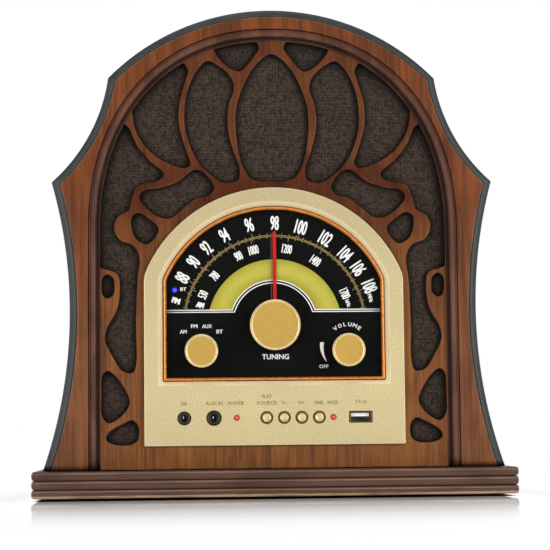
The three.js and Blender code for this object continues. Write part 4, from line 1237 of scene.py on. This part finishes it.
# ---------------------------------------------------------------- CAD pieces that are shown
KEPT = (
    (PLYWOOD, "speaker_baffle rear_cleat"),
    (STEEL, "dial_chassis tuning_shaft selector_shaft volume_shaft volume_potentiometer "
            "power_transformer speaker_frame_left speaker_frame_right "
            "back_screw_1 back_screw_2 back_screw_3 back_screw_4"),
    (BLACK_PLASTIC, "power_inlet selector_switch aerial_bracket "
                    "tact_switch_1 tact_switch_2 tact_switch_3 tact_switch_4"),
    (RUBBER, "foot_front_left foot_front_right foot_rear_left foot_rear_right"),
    (FERRITE, "aerial_rod speaker_magnet_left speaker_magnet_right"),
    (CONE, "speaker_cone_left speaker_cone_right"), (BOARD_GREEN, "control_board main_board"),
    (CLEAR, "dial_lens"), (DIAL_BLACK, "dial_plate"), (PALE_PLASTIC, "tuning_capacitor"),
    (COPPER_WIRE, "aerial_coil"),
)


def kept_nodes():
    """The CAD pieces that are shown as they are get a material and slightly rounded edges."""
    for material, nodes in KEPT:
        for node in nodes.split():
            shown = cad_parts[node]
            shown.data.materials.clear()
            shown.data.materials.append(material)
            rounding = shown.modifiers.new("rounding", "BEVEL")
            rounding.width = 0.15 * MM
            rounding.segments = 2
            rounding.angle_limit = math.radians(40)


# ---------------------------------------------------------------- camera, floor and light
def camera():
    """The photograph's viewing angle: slightly from the left, and from just above the floor."""
    yaw, pitch, roll = (math.radians(degrees) for degrees in (3.322, -5, 0.605))
    target, distance = at(0.571, 136.9, 0), 1.1
    focal_pixels, photo_width = 1761.87, 550
    look = Vector((
        math.sin(yaw) * math.cos(pitch), math.cos(yaw) * math.cos(pitch), -math.sin(pitch)))
    level = Vector((math.cos(yaw), -math.sin(yaw), 0))
    upright = level.cross(look)
    right = level * math.cos(roll) - upright * math.sin(roll)
    up = level * math.sin(roll) + upright * math.cos(roll)
    data = bpy.data.cameras.new("camera")
    data.sensor_width = 36
    data.lens = data.sensor_width * focal_pixels / photo_width
    data.clip_start, data.clip_end = 0.01, 100
    made = bpy.data.objects.new("camera", data)
    made.matrix_world = Matrix.Translation(target - look * distance) @ Matrix(
        (right, up, -look)).transposed().to_4x4()
    bpy.context.scene.collection.objects.link(made)
    bpy.context.scene.camera = made


def softbox(name, place, aim, size, power):
    data = bpy.data.lights.new(name, "AREA")
    data.shape = "RECTANGLE"
    data.size, data.size_y = size
    data.energy = power
    made = bpy.data.objects.new(name, data)
    made.location = place
    made.rotation_euler = (Vector(aim) - Vector(place)).to_track_quat("-Z", "Y").to_euler()
    made.visible_camera = False
    bpy.context.scene.collection.objects.link(made)


def floor_material():
    """White acrylic: it mirrors the plinth, and fades away from it into a lit white sweep."""
    n = Nodes("floor_white")
    half_width, half_depth = PLINTH["half_width"] * MM, PLINTH["half_depth"] * MM
    shade, mirror_reach, sweep_from, sweep_to = 0.004, 0.3, 0.03, 0.45
    side_fade, rear_fade = 12, 4  # beside and behind the plinth the mirror fades this much faster
    axes = n.add("SeparateXYZ", {0: n.add("TexCoord").outputs["Object"]}).outputs
    beside = n.math("SUBTRACT", n.math("ABSOLUTE", axes["X"]), half_width)
    before = n.math("SUBTRACT", n.math("MULTIPLY", axes["Y"], -1), half_depth)
    behind = n.math("SUBTRACT", axes["Y"], half_depth)
    past = n.add("CombineXYZ", {
        "X": n.math("MULTIPLY", n.math("MAXIMUM", beside, 0), side_fade),
        "Y": n.math("MAXIMUM", before, 0),
        "Z": n.math("MULTIPLY", n.math("MAXIMUM", behind, 0), rear_fade),
    })
    away = n.add("VectorMath", {0: past.outputs[0]}, operation="LENGTH").outputs["Value"]
    outside = n.math("MAXIMUM", n.math("MAXIMUM", beside, before), behind)
    open_air = n.ramp(outside, -shade, 0.0)  # what lies under the plinth is in its shade
    n.set(color=n.mix(open_air, (0.05, 0.05, 0.05), (0.92, 0.92, 0.92)), roughness=0.6,
          specular=0.1, emission=(1, 1, 1), glow=n.math("MULTIPLY", open_air, 0.18))
    near = n.ramp(away, 0.0, mirror_reach, 0.94, 0.0, kind="LINEAR")
    grazing = n.add("Fresnel", {"IOR": 1.45}).outputs[0]
    share = n.math("MULTIPLY", n.math("MULTIPLY", near, grazing), open_air)
    mirror = n.add("BsdfGlossy", {"Color": (0.97, 0.985, 1), "Roughness": 0.02})
    light = n.add("Emission", {"Color": (1, 1, 1), "Strength": 1.0})
    acrylic = n.blended(share, n.shader, mirror)
    surface = n.blended(n.ramp(away, sweep_from, sweep_to), acrylic, light)
    n.put(surface.outputs[0], n.tree.nodes["Material Output"].inputs["Surface"])
    return n.owner


def studio_world():
    """White where it is seen; as light, dim but for a white sweep low at the sides and behind."""
    n = Nodes("studio", bpy.data.worlds, "Background")
    towards = n.add("SeparateXYZ", {0: n.add("TexCoord").outputs["Generated"]}).outputs
    rearward = n.ramp(towards["Y"], -0.35, 0.1, kind="LINEAR")
    low = n.ramp(towards["Z"], 0.6, 0.25, kind="LINEAR")
    strength = n.ramp(n.math("MULTIPLY", rearward, low), 0.0, 1.0, 0.24, 1.15, kind="LINEAR")
    n.put((0.97, 0.985, 1), n.shader.inputs["Color"])
    n.put(strength, n.shader.inputs["Strength"])
    seen = n.add("Background", {"Color": (1, 1, 1)})
    to_camera = n.add("LightPath").outputs["Is Camera Ray"]
    surface = n.blended(to_camera, n.shader, seen)
    n.put(surface.outputs[0], n.tree.nodes["World Output"].inputs["Surface"])
    return n.owner


def stage():
    mesh = bpy.data.meshes.new("floor")
    size = 12
    mesh.from_pydata([(-size, -size, 0), (size, -size, 0), (size, size, 0), (-size, size, 0)], [],
                     [(0, 1, 2, 3)])
    mesh.materials.append(floor_material())
    floor = bpy.data.objects.new("floor", mesh)
    bpy.context.scene.collection.objects.link(floor)
    bpy.context.scene.world = studio_world()
    softbox("key", (0.85, -1.15, 0.35), (0, -0.05, 0.12), (0.5, 0.7), 10.5)
    softbox("fill", (-0.8, -1.2, 0.28), (0, -0.05, 0.12), (0.6, 0.6), 8.6)
    softbox("side_left", (-1.1, 0.1, 0.4), (0, 0, 0.15), (0.4, 0.8), 2)
    softbox("top", (0.0, 0.1, 1.5), (0, 0, 0.1), (1.2, 1.2), 6)
    softbox("rear", (0.3, 1.5, 0.9), (0, 0, 0.15), (1.2, 1.0), 5)
    bpy.context.scene.view_settings.view_transform = "Standard"
    bpy.context.scene.view_settings.look = "None"


for build in (
    plinth, front_frame, bead_moulding, fretwork, grille_cloth, cabinet_shell, back_panel,
    escutcheon, dial_bezel, white_print, coloured_print, control_labels, pointer, knobs, buttons,
    jacks, lamps, usb_port, kept_nodes, camera, stage,
):
    build()
